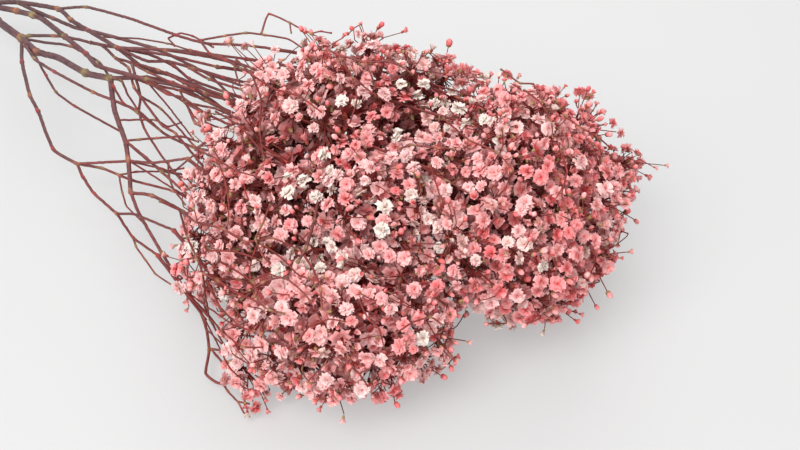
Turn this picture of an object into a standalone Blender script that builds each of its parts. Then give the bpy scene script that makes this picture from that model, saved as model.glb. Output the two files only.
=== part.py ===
"""A dried gypsophila stem that lies on its florets: a forked woody stem and the sprays it carries.

Sizes are in millimetres and are scaled to metres when a mesh is made. +X runs along the stem from
its cut end to the tips, +Z is up, and the part lies on z = 0.
"""
import math

import bmesh
import bpy
import numpy as np
from mathutils import Matrix, Vector

MM = 0.001
WELD = 1e-6
SEED = 11
TURN_SEED = 23

# Plan point that becomes the part's origin, the middle of its outline
PLAN_CENTRE = (-158.3, 2.3)

# Colour, roughness of the dyed bark and of the florets
BARK = ((0.16, 0.045, 0.035), 0.6)
PETAL = ((0.78, 0.30, 0.32), 0.75)

# Forks of the woody stem
FORKS = {
    "first": (-271, -4, 20),
    "lower": (-224, -11, 23),
    "middle": (-202, -2, 29),
    "upper": (-221, 9, 31),
    "bend": (-155, -13, 33),
    "drop": (-123, -32, 26),
    "low": (-101, -48, 20),
    "outer": (-138, -47, 15),
    "outer_end": (-101, -56, 14),
    "back": (-189, 2, 36),
    "back_low": (-132, 22, 28),
    "crown": (-161, -3, 41),
    "rise": (-159, -6, 38),
    "heart": (-131, -11, 42),
    "crest": (-101, -16, 47),
    "side": (-72, -45, 24),
}

# Ends of the branches, where one spray each begins
SPRAY_STARTS = [
    (-84, 20, 62),
    (-105, 5, 52),
    (-95, -10, 51),
    (-62, -23, 57),
    (-68, -43, 51),
    (-110, 25, 44),
    (-105, 8, 38),
    (-92, -1, 38),
    (-73, -14, 37),
    (-70, -31, 34),
    (-65, -46, 36),
    (-55, -63, 36),
    (-66, -64, 18),
    (-41, -55, 20),
    (-42, -38, 21),
    (-92, -2, 18),
    (-95, 16, 20),
    (-105, 30, 26),
    (-80, -14, 18),
]

# Branches: thickness at the start, thickness at the end, and the route between them,
# where a word is a fork and a whole number is the spray that starts at that end
BRANCHES = [
    (4.8, 4.4, [(-392, -9, 2.5), (-350, -11, 6), (-309, -6, 13), "first"]),
    (3.8, 3.4, ["first", (-250, -7, 20), "lower"]),
    (3.0, 2.7, ["lower", (-208, -14, 24), (-193, -13, 27), (-170, -15, 30), "bend"]),
    (2.1, 1.8, ["lower", (-209, -22, 22), (-187, -34, 20), (-176, -38, 19), (-151, -49, 17), "outer"]),
    (1.7, 1.6, ["outer", (-129, -51, 15), (-118, -54, 14), "outer_end"]),
    (1.6, 1.4, ["outer", (-126, -42, 19), (-113, -38, 24), (-94, -40, 34), 4]),
    (1.5, 1.4, ["outer_end", (-87, -57, 22), 11]),
    (1.5, 1.4, ["outer_end", (-85, -61, 14), 12]),
    (1.8, 1.5, ["lower", (-203, -19, 25), (-185, -21, 27), (-156, -22, 30), (-130, -19, 31),
                (-115, -18, 26), (-104, -12, 21), 15]),
    (2.8, 2.5, ["first", (-246, 2, 23), (-234, 3, 25), (-227, 3, 26), "middle"]),
    (2.4, 2.1, ["middle", (-178, -8, 33), (-161, -14, 37), "heart"]),
    (2.0, 1.9, ["heart", (-111, -2, 41), 7]),
    (1.8, 1.7, ["middle", (-176, -1, 35), "rise"]),
    (1.6, 1.5, ["rise", (-129, -6, 45), 2]),
    (2.5, 2.1, ["first", (-251, 6, 24), "upper", (-206, 5, 33), "back", "crown"]),
    (1.8, 1.6, ["crown", (-145, 2, 42), (-132, 4, 41), (-121, 3, 40), 6]),
    (1.7, 1.5, ["crown", (-133, 2, 47), 1]),
    (1.8, 1.5, ["upper", (-204, 13, 37), (-171, 12, 45), (-134, 9, 53), (-115, 9, 57), (-98, 16, 60), 0]),
    (1.6, 1.5, ["crown", (-138, 11, 43), 5]),
    (2.0, 1.8, ["back", (-160, 16, 32), "back_low"]),
    (1.6, 1.5, ["back_low", 17]),
    (1.6, 1.5, ["back_low", (-112, 21, 22), 16]),
    (2.5, 2.1, ["bend", (-139, -24, 29), "drop", (-114, -38, 24), "low"]),
    (1.6, 1.4, ["drop", (-104, -36, 29), (-88, -41, 33), 10]),
    (1.6, 1.4, ["drop", (-102, -30, 20), 18]),
    (1.6, 1.4, ["rise", (-146, -9, 40), (-137, -14, 37), (-109, -23, 36), (-99, -24, 37), 9]),
    (1.6, 1.4, ["heart", "crest", (-92, -19, 43), (-80, -15, 40), 8]),
    (1.5, 1.4, ["crest", (-84, -20, 52), 3]),
    (1.8, 1.6, ["low", (-91, -45, 22), "side", (-59, -54, 22), 13]),
    (1.5, 1.4, ["side", (-60, -42, 24), 14]),
    (1.8, 1.4, ["low", (-90, -53, 18), (-70, -59, 13), (-50, -65, 10), (-42, -66, 8), (-32, -71, 6),
                (-24, -77, 5), (-17, -85, 4), (-10, -85, 4), (-5, -80, 6)]),
]
THICK_BRANCH = 2.0          # from this thickness a branch has six sides, below it four
FORK_SWELL = 1.35           # a swollen joint against the thickest branch at it
SEAT_GAP = 0.3              # between the stem's end and its spray

# The sprays fan out from this point, each in its own cone
HUB = (-215.0, -10.0, 26.0)

# The flower head: rounded lobes, whose long axis is turned from the stem's
HEAD_TURN = math.radians(42)
LOBES = [
    ((20, -51, 31), (45, 34, 30)),
    ((-40, -30, 34), (36, 58, 36)),
    ((-37, 14, 49), (52, 36, 41)),
    ((32, 24, 45), (45, 54, 43)),
    ((40, 32, 28), (29, 42, 28)),
    ((42, 74, 31), (20, 19, 17)),
    ((8, -72, 12), (22, 15, 13)),
    ((-39, -57, 20), (21, 14, 17)),
    ((0, -12, 40), (38, 38, 37)),
    ((-24, 32, 58), (30, 25, 28)),
    ((26, 52, 52), (25, 24, 26)),
]

# The head's surface swells and sinks in waves: radians per millimetre and start of each, and their height
WAVES = [
    ((0.17, 0.06, 0.05), 0.3),
    ((-0.07, 0.16, -0.06), 1.7),
    ((0.05, -0.08, 0.17), 4.1),
]
WAVE_HEIGHT = 0.07
HEAD_MIDDLE = (0, 0, 38)

# Florets face away from this point, pulled a little towards their stalk's direction
FACING_POINT = (0, 0, 23)
STALK_PULL = 0.28

# Floret layers: inner and outer depth as a share of the lobe's radius, and spacing
LAYERS = [(0.86, 1.0, 12.2), (0.50, 0.84, 13.4)]
CANDIDATES = 60000
SEARCH_LOW = (-110, -110, 5.6)
SEARCH_HIGH = (100, 115, 98)
STEM_SIDE_THINNING = 0.12   # how much wider the spacing is on the side of the stem
CELL_MARGIN = 1.6           # least distance from a floret's middle to the side of its cone

# Three florets are pressed flat on the surface, round the weight
REST_SPOTS = [(18, -62), (50, 56), (-42, 12)]
REST_HEIGHT = 2.5

# Florets: larger than life, so that they cover the head as the real ones do
FLORET_RADIUS = 7.1
SMALLEST_FLORET = 3.4
FLORET_CLEARANCE = 0.45
SURFACE_INSET = 5.6         # floret middles lie this far inside the lobes
PETALS = 5
NOTCH = 0.74                # rim radius between two petals, as a share of the floret's
PETAL_LIFT = (0.10, 0.24)
CROWN_HEIGHT = 0.30
LOWEST_POINT = 0.5          # all but the pressed florets stay this far above the surface

# Stalks: three-sided, each opens into its floret at its neck
STALK_THICKNESS = 1.2
STALK_CORNER = 0.72         # from a stalk's middle to its corners
NECK_DEPTH = 4.4
NECK_FLARE = 1.3
ROOT_SUNK = 0.4
CLUSTER_SIZE = 3
CLUSTER_REACH = 19.0
CLUSTER_ROOTS = (0.48, 0.74)
ROOT_JITTER = 0.06

# The main axis of a spray, and how far back along it a stalk starts
AXIS_THICKNESS = (1.9, 1.5)
FLORETS_PER_RUN = 5
MIN_RUN = 9.0
AXIS_WANDER = 0.45
AXIS_TIP = 0.92
AXIS_SAMPLES = 40
ROOT_SETBACK = 0.6
ROOT_SPACING = 2.4
STEM_CLEARANCE = 1.8
PRUNING_ROUNDS = 8
SAME_PLACE = 0.01           # ends this close belong to the same stalk


def unit(vector):
    """The vector's direction."""
    return vector / max(np.linalg.norm(vector), 1e-9)


def lobe_depth(points):
    """Gives each point's depth in the flower head: 1 on its surface and 0 in a lobe's middle."""
    turn = np.array([
        [math.cos(HEAD_TURN), math.sin(HEAD_TURN), 0],
        [-math.sin(HEAD_TURN), math.cos(HEAD_TURN), 0],
        [0, 0, 1],
    ])
    depths = []
    for centre, radii in LOBES:
        inner = np.array(radii) - SURFACE_INSET
        depths.append(np.linalg.norm((points - centre) @ turn.T / inner, axis=1))
    waves = [np.sin(points @ np.array(way) + start) for way, start in WAVES]
    return np.min(depths, axis=0) * (1 + WAVE_HEIGHT * np.mean(waves, axis=0))


def cell_of(points):
    """Gives the cone that each point lies in, and how far it is from that cone's sides."""
    hub = np.array(HUB)
    directions = np.array([unit(np.array(start) - hub) for start in SPRAY_STARTS])
    along = (points - hub) @ directions.T
    best = np.argmax(along, axis=1)
    margin = np.full(len(points), 1e9)
    for other in range(len(directions)):
        step = directions[best] - directions[other]
        length = np.linalg.norm(step, axis=1)
        inside = np.einsum("ij,ij->i", points - hub, step) / np.maximum(length, 1e-9)
        margin = np.where(length > 0, np.minimum(margin, inside), margin)
    return best, margin


def segment_distance(point, starts, ends):
    """Distance from one point to many straight segments."""
    span = ends - starts
    share = np.einsum("ij,ij->i", point - starts, span) / np.maximum(np.einsum("ij,ij->i", span, span), 1e-9)
    nearest = starts + np.clip(share, 0, 1)[:, None] * span
    return np.linalg.norm(point - nearest, axis=1)


def segments_apart(a, b, c, d, steps=9):
    """Least distance between the segment a-b and the segments c-d, at points along a-b."""
    return min(segment_distance(a + (b - a) * t, c, d).min() for t in np.linspace(0, 1, steps))


def branch_points(branch):
    """Real points of a branch, from the names in its route."""
    points = []
    for stop in branch[2]:
        if isinstance(stop, str):
            points.append(FORKS[stop])
        elif isinstance(stop, int):
            points.append(SPRAY_STARTS[stop])
        else:
            points.append(stop)
    return [np.array(point, float) for point in points]


def stem_segments():
    """Every straight run of the stem: starts, ends and radii."""
    starts, ends, radii = [], [], []
    for branch in BRANCHES:
        points = branch_points(branch)
        for a, b in zip(points, points[1:]):
            starts.append(a)
            ends.append(b)
            radii.append(branch[0] / 2)
    return np.array(starts), np.array(ends), np.array(radii)


def place_florets(rng):
    """Fills the flower head layer by layer: each next floret goes where the gap is widest."""
    low, high = np.array(SEARCH_LOW), np.array(SEARCH_HIGH)
    starts, ends, radii = stem_segments()
    blocked = SMALLEST_FLORET + FLORET_CLEARANCE + radii
    places = [np.array([x, y, REST_HEIGHT]) for x, y in REST_SPOTS]
    for inner, outer, spacing in LAYERS:
        points = low + rng.random((CANDIDATES, 3)) * (high - low)
        depth = lobe_depth(points)
        margin = cell_of(points)[1]
        points = points[(depth > inner) & (depth <= outer) & (margin > CELL_MARGIN)]
        facing = (points - HEAD_MIDDLE) @ unit(np.array(HUB) - HEAD_MIDDLE)
        facing /= np.linalg.norm(points - HEAD_MIDDLE, axis=1)
        room = spacing * (1 + STEM_SIDE_THINNING * np.clip(facing, 0, 1))
        clear = [(segment_distance(point, starts, ends) > blocked).all() for point in points]
        gap = np.where(clear, 1e9, 0.0)
        for place in places:
            gap = np.minimum(gap, np.linalg.norm(points - place, axis=1) / room)
        while gap.max() > 1:
            place = points[np.argmax(gap)]
            places.append(place)
            gap = np.minimum(gap, np.linalg.norm(points - place, axis=1) / room)
    places = np.array(places)
    return places, cell_of(places)[0]


def path_point(path, distance):
    """Point at a distance along a path of straight runs."""
    for a, b in zip(path, path[1:]):
        length = np.linalg.norm(b - a)
        if distance <= length:
            return a + (b - a) * distance / max(length, 1e-9)
        distance -= length
    return path[-1]


def floret_axis(root, centre, rests):
    """A floret faces away from the middle of the flower head, but never back along its stalk."""
    if rests:
        return np.array([0.0, 0.0, -1.0])
    stalk = unit(centre - root)
    outward = unit(centre - np.array(FACING_POINT))
    facing = unit(outward + STALK_PULL * stalk)
    if facing @ stalk < STALK_PULL / 2:
        facing = unit(facing + STALK_PULL * 2 * stalk)
    return facing


def grow_spray(start, centres, rests, rng):
    """Grows one spray: its main axis, and the twigs and stalks that reach every floret."""
    reach = unit(centres.mean(axis=0) - start)
    base = start + reach * SEAT_GAP
    order = np.argsort((centres - base) @ reach)
    groups = np.array_split(order, max(1, round(len(order) / FLORETS_PER_RUN)))
    middles = [centres[group].mean(axis=0) for group in groups]
    tip = base + (middles[-1] - base) * AXIS_TIP
    line = unit(tip - base)
    path = [base]
    for middle in middles[:-1]:
        station = base + line * ((middle - base) @ line)
        if (station - path[-1]) @ line > MIN_RUN and (tip - station) @ line > MIN_RUN:
            path.append(station + (middle - station) * AXIS_WANDER)
    path.append(tip)
    length = sum(np.linalg.norm(b - a) for a, b in zip(path, path[1:]))
    stations = np.linspace(0, length, AXIS_SAMPLES)
    samples = np.array([path_point(path, station) for station in stations])
    stalks, taken = {}, []

    def grow_stalk(k, root):
        axis = floret_axis(root, centres[k], rests[k])
        stalks[k] = (root, centres[k] - axis * NECK_DEPTH, axis)

    left = list(order[::-1])
    while left:
        lead = left.pop(0)
        near = sorted(left, key=lambda k: np.linalg.norm(centres[k] - centres[lead]))[:CLUSTER_SIZE - 1]
        members = [k for k in near if np.linalg.norm(centres[k] - centres[lead]) < CLUSTER_REACH]
        left = [k for k in left if k not in members]
        gaps = np.linalg.norm(samples - centres[lead], axis=1)
        station = max(stations[np.argmin(gaps)] - ROOT_SETBACK * gaps.min(), ROOT_SPACING)
        while any(abs(station - other) < ROOT_SPACING for other in taken):
            station += ROOT_SPACING / 2
        taken.append(station)
        grow_stalk(lead, path_point(path, min(station, length - ROOT_SUNK)))
        root, neck = stalks[lead][:2]
        for share, k in zip(CLUSTER_ROOTS, members):
            grow_stalk(k, root + (neck - root) * (share + ROOT_JITTER * rng.random()))
    return path, stalks


def spray_segments(plan):
    """Every straight run of a spray: starts and ends."""
    path, stalks = plan["path"], plan["stalks"]
    runs = list(zip(path, path[1:])) + [stalks[k][:2] for k in stalks]
    return np.array([a for a, b in runs]), np.array([b for a, b in runs])


def plan_spray(index, ids, places):
    """Plan of one spray: its axis, and the stalk, middle and number of each floret."""
    rests = ids < len(REST_SPOTS)
    rng = np.random.default_rng(SEED + index)
    path, stalks = grow_spray(np.array(SPRAY_STARTS[index], float), places[ids], rests, rng)
    return {"path": path, "stalks": stalks, "centres": places[ids], "ids": ids, "rests": rests}


def floret_room(plan, k, own, others, stems):
    """Radius that one floret may have beside the stem, the other sprays and its own spray's twigs."""
    centre = plan["centres"][k]
    root, neck = plan["stalks"][k][:2]
    foreign = np.linalg.norm(own[1] - neck, axis=1) > SAME_PLACE
    foreign &= segment_distance(root, own[0], own[1]) > SAME_PLACE
    rooms = [
        FLORET_RADIUS + FLORET_CLEARANCE,
        segment_distance(centre, others[0], others[1]).min() - STALK_THICKNESS,
        (segment_distance(centre, stems[0], stems[1]) - stems[2]).min(),
    ]
    if foreign.any():
        rooms.append(segment_distance(centre, own[0][foreign], own[1][foreign]).min() - STALK_THICKNESS / 2)
    return min(rooms) - FLORET_CLEARANCE


def shrink_neighbours(places, cells, radii, keep):
    """Shrinks florets of different sprays until no two touch."""
    for i in np.flatnonzero(keep):
        gap = np.linalg.norm(places - places[i], axis=1)
        close = (gap < radii + radii[i] + FLORET_CLEARANCE) & keep & (cells != cells[i])
        for j in np.flatnonzero(close):
            share = min(1.0, (gap[j] - FLORET_CLEARANCE) / (radii[i] + radii[j]))
            radii[i] *= share
            radii[j] *= share


def plan_sprays():
    """Grows every spray, and drops the florets that would touch the stem or another spray."""
    places, cells = place_florets(np.random.default_rng(SEED))
    stems = stem_segments()
    keep = np.ones(len(places), bool)
    for _ in range(PRUNING_ROUNDS):
        plans = [plan_spray(index, np.flatnonzero(keep & (cells == index)), places)
                 for index in range(len(SPRAY_STARTS))]
        runs = [spray_segments(plan) for plan in plans]
        radii = np.full(len(places), FLORET_RADIUS)
        dropped = set()
        for index, plan in enumerate(plans):
            others = [np.concatenate([run[end] for k, run in enumerate(runs) if k != index]) for end in (0, 1)]
            for k, floret in enumerate(plan["ids"]):
                radii[floret] = floret_room(plan, k, runs[index], others, stems)
                root, neck = plan["stalks"][k][:2]
                away = np.linalg.norm(root - plan["path"][0]) > MIN_RUN
                if away and segments_apart(root, neck, stems[0], stems[1]) < STEM_CLEARANCE:
                    dropped.add(floret)
        shrink_neighbours(places, cells, radii, keep)
        dropped |= set(np.flatnonzero((radii < SMALLEST_FLORET) & keep)) - set(range(len(REST_SPOTS)))
        if not dropped:
            break
        keep[list(dropped)] = False
    for plan in plans:
        plan["radii"] = radii[plan["ids"]]
    return plans


def to_world(point):
    return Vector((point[0] - PLAN_CENTRE[0], point[1] - PLAN_CENTRE[1], point[2])) * MM


def make_material(name, look):
    material = bpy.data.materials.new(name)
    material.use_nodes = True
    shader = material.node_tree.nodes["Principled BSDF"]
    shader.inputs["Base Color"].default_value = (*look[0], 1)
    shader.inputs["Roughness"].default_value = look[1]
    return material


def mesh_object(name, mesh, collection):
    piece = bpy.data.objects.new(name, mesh)
    collection.objects.link(piece)
    return piece


def form_object(name, form, collection):
    mesh = bpy.data.meshes.new(name)
    form.to_mesh(mesh)
    form.free()
    return mesh_object(name, mesh, collection)


def add_tube(name, points, thickness, bevel_resolution, collection):
    """A branch as a bevelled curve, made a closed mesh that is flat where it meets the surface."""
    curve = bpy.data.curves.new(name, "CURVE")
    curve.dimensions = "3D"
    curve.bevel_depth = MM / 2
    curve.bevel_resolution = bevel_resolution
    curve.use_fill_caps = True
    spline = curve.splines.new("POLY")
    spline.points.add(len(points) - 1)
    for index, point in enumerate(points):
        share = index / (len(points) - 1)
        spline.points[index].co = (*to_world(point), 1)
        spline.points[index].radius = thickness[0] + (thickness[1] - thickness[0]) * share
    guide = mesh_object(name, curve, collection)
    bpy.context.view_layer.update()
    mesh = bpy.data.meshes.new_from_object(guide.evaluated_get(bpy.context.evaluated_depsgraph_get()))
    bpy.data.objects.remove(guide)
    form = bmesh.new()
    form.from_mesh(mesh)
    bmesh.ops.remove_doubles(form, verts=form.verts, dist=WELD)
    for vertex in form.verts:
        vertex.co.z = max(vertex.co.z, 0.0)
    bmesh.ops.recalc_face_normals(form, faces=form.faces)
    bpy.data.meshes.remove(mesh)
    return form_object(name, form, collection)


def add_ring(form, origin, turn, spin, radii, heights, count):
    """A ring of corners, whose radii and heights take turns."""
    corners = []
    for index in range(count):
        angle = spin + math.tau * index / count
        reach = radii[index % len(radii)]
        offset = Vector((math.cos(angle) * reach, math.sin(angle) * reach, heights[index % len(heights)]))
        corners.append(form.verts.new(origin + turn @ offset))
    return corners


def add_floret(name, stalk, centre, radius, rests, rng, collection):
    """A stalk that opens into a floret: a loft from three sides to a rim of petals and notches."""
    foot, throat, axis = to_world(stalk[0]), to_world(stalk[1]), Vector(stalk[2])
    middle = to_world((centre[0], centre[1], 0)) if rests else to_world(centre)
    size = radius * MM
    thin = STALK_CORNER * MM
    lift = 0 if rests else size * rng.uniform(*PETAL_LIFT)
    crown_height = 0 if rests else size * CROWN_HEIGHT
    along = (throat - foot).normalized()
    face_turn = axis.to_track_quat("Z", "Y")
    stalk_turn = axis.rotation_difference(along) @ face_turn
    spin = rng.random() * math.tau
    count = PETALS * 2
    form = bmesh.new()
    bottom = add_ring(form, foot - along * ROOT_SUNK * MM, stalk_turn, spin, [thin], [0], 3)
    neck = add_ring(form, throat, face_turn, spin, [thin * NECK_FLARE], [0], 3)
    rim = add_ring(form, middle, face_turn, spin, [size, size * NOTCH], [lift, -lift], count)
    crown = form.verts.new(middle + axis * crown_height)
    form.faces.new(bottom)
    for index in range(3):
        after = (index + 1) % 3
        form.faces.new((bottom[index], neck[index], neck[after], bottom[after]))
    nearest = [round(index * 3 / count) % 3 for index in range(count + 1)]
    for index in range(count):
        after = (index + 1) % count
        form.faces.new((rim[index], rim[after], crown))
        form.faces.new((rim[index], rim[after], neck[nearest[index]]))
        if nearest[index] != nearest[index + 1]:
            form.faces.new((rim[after], neck[nearest[index + 1]], neck[nearest[index]]))
    for vertex in form.verts:
        vertex.co.z = max(vertex.co.z, 0 if rests else LOWEST_POINT * MM)
    bmesh.ops.recalc_face_normals(form, faces=form.faces)
    bmesh.ops.triangulate(form, faces=form.faces)
    return form_object(name, form, collection)


def add_knob(name, point, radius, collection):
    """A swollen joint at a fork."""
    form = bmesh.new()
    bmesh.ops.create_icosphere(form, subdivisions=1, radius=radius * MM)
    turn = Matrix.Rotation(point[0], 4, "X") @ Matrix.Rotation(point[1], 4, "Z")
    bmesh.ops.transform(form, matrix=Matrix.Translation(to_world(point)) @ turn, verts=form.verts)
    return form_object(name, form, collection)


def keep_largest_body(mesh):
    """Drops the loose scraps and sealed hollows that a union can leave."""
    form = bmesh.new()
    form.from_mesh(mesh)
    bmesh.ops.triangulate(form, faces=form.faces)
    bodies, seen = [], set()
    for first in form.faces:
        if first in seen:
            continue
        body, queue = {first}, [first]
        while queue:
            for edge in queue.pop().edges:
                if len(edge.link_faces) == 2:
                    found = set(edge.link_faces) - body
                    body |= found
                    queue.extend(found)
        seen |= body
        bodies.append(body)
    largest = max(bodies, key=len)
    bmesh.ops.delete(form, geom=[face for face in form.faces if face not in largest], context="FACES")
    form.to_mesh(mesh)
    form.free()


def fuse(name, first, scraps, material, collection):
    """Joins a node's repeats to its first piece in one union, and removes them."""
    node = mesh_object(name, first.data, collection)
    bpy.data.objects.remove(first)
    join = node.modifiers.new("Join", "BOOLEAN")
    join.operation = "UNION"
    join.solver = "MANIFOLD"
    join.operand_type = "COLLECTION"
    join.collection = scraps
    bpy.context.view_layer.update()
    mesh = bpy.data.meshes.new_from_object(node.evaluated_get(bpy.context.evaluated_depsgraph_get()))
    node.modifiers.clear()
    node.data = mesh
    mesh.name = name
    keep_largest_body(mesh)
    mesh.materials.clear()
    mesh.materials.append(material)
    for scrap in list(scraps.objects):
        bpy.data.objects.remove(scrap)
    bpy.data.collections.remove(scraps)
    return node


def new_collection(name):
    collection = bpy.data.collections.new(name)
    bpy.context.scene.collection.children.link(collection)
    return collection


def make_stem(material, collection):
    scraps = new_collection("stem repeats")
    joints = {}
    tubes = []
    for index, branch in enumerate(BRANCHES):
        points = branch_points(branch)
        tubes.append(add_tube(f"branch {index}", points, branch[:2], int(branch[0] >= THICK_BRANCH), scraps))
        for end, thickness in zip((0, -1), branch[:2]):
            stop = branch[2][end]
            if isinstance(stop, str):
                joints[stop] = (points[end], max(thickness, joints.get(stop, (0, 0))[1]))
    for stop, (point, thickness) in joints.items():
        add_knob(f"joint {stop}", point, thickness / 2 * FORK_SWELL, scraps)
    return fuse("stem", tubes[0], scraps, material, collection)


def make_spray(index, plan, material, collection):
    scraps = new_collection(f"spray {index} repeats")
    rng = np.random.default_rng([TURN_SEED, index])
    first = add_tube("axis", plan["path"], AXIS_THICKNESS, 0, scraps)
    for k, stalk in plan["stalks"].items():
        add_floret(f"floret {k}", stalk, plan["centres"][k], plan["radii"][k], plan["rests"][k], rng, scraps)
    return fuse(f"spray_{index + 1:02d}", first, scraps, material, collection)


def main():
    for item in list(bpy.data.objects):
        bpy.data.objects.remove(item)
    collection = new_collection("gypsophila stem")
    make_stem(make_material("dyed bark", BARK), collection)
    petal = make_material("dyed petals", PETAL)
    for index, plan in enumerate(plan_sprays()):
        make_spray(index, plan, petal, collection)


main()
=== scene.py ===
"""The looks of a dried, dyed gypsophila stem: its bark, its thin stalks and its double florets.

Sizes are in millimetres in the plan of the stem, whose point PLAN_CENTRE is the frame's origin, and
become metres when a mesh is made. The functions up to plan_sprays grow the same stem and sprays as the
solids have, and the ones after it dress them.
"""
import math

import bpy
import numpy as np
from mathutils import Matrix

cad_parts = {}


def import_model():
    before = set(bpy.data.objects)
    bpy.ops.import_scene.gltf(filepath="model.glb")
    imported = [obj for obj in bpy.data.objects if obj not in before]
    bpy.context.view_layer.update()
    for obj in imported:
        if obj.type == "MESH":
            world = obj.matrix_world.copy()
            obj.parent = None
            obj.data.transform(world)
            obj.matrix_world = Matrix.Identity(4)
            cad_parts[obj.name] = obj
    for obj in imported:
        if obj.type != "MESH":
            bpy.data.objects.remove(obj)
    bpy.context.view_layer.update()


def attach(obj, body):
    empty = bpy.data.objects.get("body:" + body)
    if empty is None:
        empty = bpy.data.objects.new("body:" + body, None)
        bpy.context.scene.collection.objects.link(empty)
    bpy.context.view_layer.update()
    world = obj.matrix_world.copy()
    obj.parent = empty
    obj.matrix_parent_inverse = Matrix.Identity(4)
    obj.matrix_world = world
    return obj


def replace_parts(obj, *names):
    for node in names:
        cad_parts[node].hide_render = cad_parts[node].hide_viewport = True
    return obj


MM = 0.001
SEED = 11
PLAN_CENTRE = (-158.3, 2.3)
FAR = 1e9
TINY = 1e-9
LOWEST = 0.0001  # metres: no point lies lower

# Forks of the woody stem
FORKS = {
    "first": (-271, -4, 20),
    "lower": (-224, -11, 23),
    "middle": (-202, -2, 29),
    "upper": (-221, 9, 31),
    "bend": (-155, -13, 33),
    "drop": (-123, -32, 26),
    "low": (-101, -48, 20),
    "outer": (-138, -47, 15),
    "outer_end": (-101, -56, 14),
    "back": (-189, 2, 36),
    "back_low": (-132, 22, 28),
    "crown": (-161, -3, 41),
    "rise": (-159, -6, 38),
    "heart": (-131, -11, 42),
    "crest": (-101, -16, 47),
    "side": (-72, -45, 24),
}

# Ends of the branches, where one spray each begins
SPRAY_STARTS = [
    (-84, 20, 62), (-105, 5, 52), (-95, -10, 51), (-62, -23, 57), (-68, -43, 51), (-110, 25, 44),
    (-105, 8, 38), (-92, -1, 38), (-73, -14, 37), (-70, -31, 34), (-65, -46, 36), (-55, -63, 36),
    (-66, -64, 18), (-41, -55, 20), (-42, -38, 21), (-92, -2, 18), (-95, 16, 20), (-105, 30, 26),
    (-80, -14, 18),
]

# Branches: thickness at the start, thickness at the end, and the route between them,
# where a word is a fork and a whole number is the spray that starts at that end
BRANCHES = [
    (4.8, 4.4, [(-392, -9, 2.5), (-350, -11, 6), (-309, -6, 13), "first"]),
    (3.8, 3.4, ["first", (-250, -7, 20), "lower"]),
    (3.0, 2.7, ["lower", (-208, -14, 24), (-193, -13, 27), (-170, -15, 30), "bend"]),
    (2.1, 1.8, ["lower", (-209, -22, 22), (-187, -34, 20), (-176, -38, 19), (-151, -49, 17), "outer"]),
    (1.7, 1.6, ["outer", (-129, -51, 15), (-118, -54, 14), "outer_end"]),
    (1.6, 1.4, ["outer", (-126, -42, 19), (-113, -38, 24), (-94, -40, 34), 4]),
    (1.5, 1.4, ["outer_end", (-87, -57, 22), 11]),
    (1.5, 1.4, ["outer_end", (-85, -61, 14), 12]),
    (1.8, 1.5, ["lower", (-203, -19, 25), (-185, -21, 27), (-156, -22, 30), (-130, -19, 31),
                (-115, -18, 26), (-104, -12, 21), 15]),
    (2.8, 2.5, ["first", (-246, 2, 23), (-234, 3, 25), (-227, 3, 26), "middle"]),
    (2.4, 2.1, ["middle", (-178, -8, 33), (-161, -14, 37), "heart"]),
    (2.0, 1.9, ["heart", (-111, -2, 41), 7]),
    (1.8, 1.7, ["middle", (-176, -1, 35), "rise"]),
    (1.6, 1.5, ["rise", (-129, -6, 45), 2]),
    (2.5, 2.1, ["first", (-251, 6, 24), "upper", (-206, 5, 33), "back", "crown"]),
    (1.8, 1.6, ["crown", (-145, 2, 42), (-132, 4, 41), (-121, 3, 40), 6]),
    (1.7, 1.5, ["crown", (-133, 2, 47), 1]),
    (1.8, 1.5, ["upper", (-204, 13, 37), (-171, 12, 45), (-134, 9, 53), (-115, 9, 57), (-98, 16, 60), 0]),
    (1.6, 1.5, ["crown", (-138, 11, 43), 5]),
    (2.0, 1.8, ["back", (-160, 16, 32), "back_low"]),
    (1.6, 1.5, ["back_low", 17]),
    (1.6, 1.5, ["back_low", (-112, 21, 22), 16]),
    (2.5, 2.1, ["bend", (-139, -24, 29), "drop", (-114, -38, 24), "low"]),
    (1.6, 1.4, ["drop", (-104, -36, 29), (-88, -41, 33), 10]),
    (1.6, 1.4, ["drop", (-102, -30, 20), 18]),
    (1.6, 1.4, ["rise", (-146, -9, 40), (-137, -14, 37), (-109, -23, 36), (-99, -24, 37), 9]),
    (1.6, 1.4, ["heart", "crest", (-92, -19, 43), (-80, -15, 40), 8]),
    (1.5, 1.4, ["crest", (-84, -20, 52), 3]),
    (1.8, 1.6, ["low", (-91, -45, 22), "side", (-59, -54, 22), 13]),
    (1.5, 1.4, ["side", (-60, -42, 24), 14]),
    (1.8, 1.4, ["low", (-90, -53, 18), (-70, -59, 13), (-50, -65, 10), (-42, -66, 8), (-32, -71, 6),
                (-24, -77, 5), (-17, -85, 4), (-10, -85, 4), (-5, -80, 6)]),
]
SEAT_GAP = 0.3

# The sprays fan out from this point, each in its own cone
HUB = (-215.0, -10.0, 26.0)

# The flower head: rounded lobes, whose long axis is turned from the stem's
HEAD_TURN = math.radians(42)
LOBES = [
    ((20, -51, 31), (45, 34, 30)),
    ((-40, -30, 34), (36, 58, 36)),
    ((-37, 14, 49), (52, 36, 41)),
    ((32, 24, 45), (45, 54, 43)),
    ((40, 32, 28), (29, 42, 28)),
    ((42, 74, 31), (20, 19, 17)),
    ((8, -72, 12), (22, 15, 13)),
    ((-39, -57, 20), (21, 14, 17)),
    ((0, -12, 40), (38, 38, 37)),
    ((-24, 32, 58), (30, 25, 28)),
    ((26, 52, 52), (25, 24, 26)),
]

# The head's surface swells and sinks in waves: radians per millimetre and start of each, and their height
WAVES = [
    ((0.17, 0.06, 0.05), 0.3),
    ((-0.07, 0.16, -0.06), 1.7),
    ((0.05, -0.08, 0.17), 4.1),
]
WAVE_HEIGHT = 0.07
HEAD_MIDDLE = (0, 0, 38)

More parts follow.
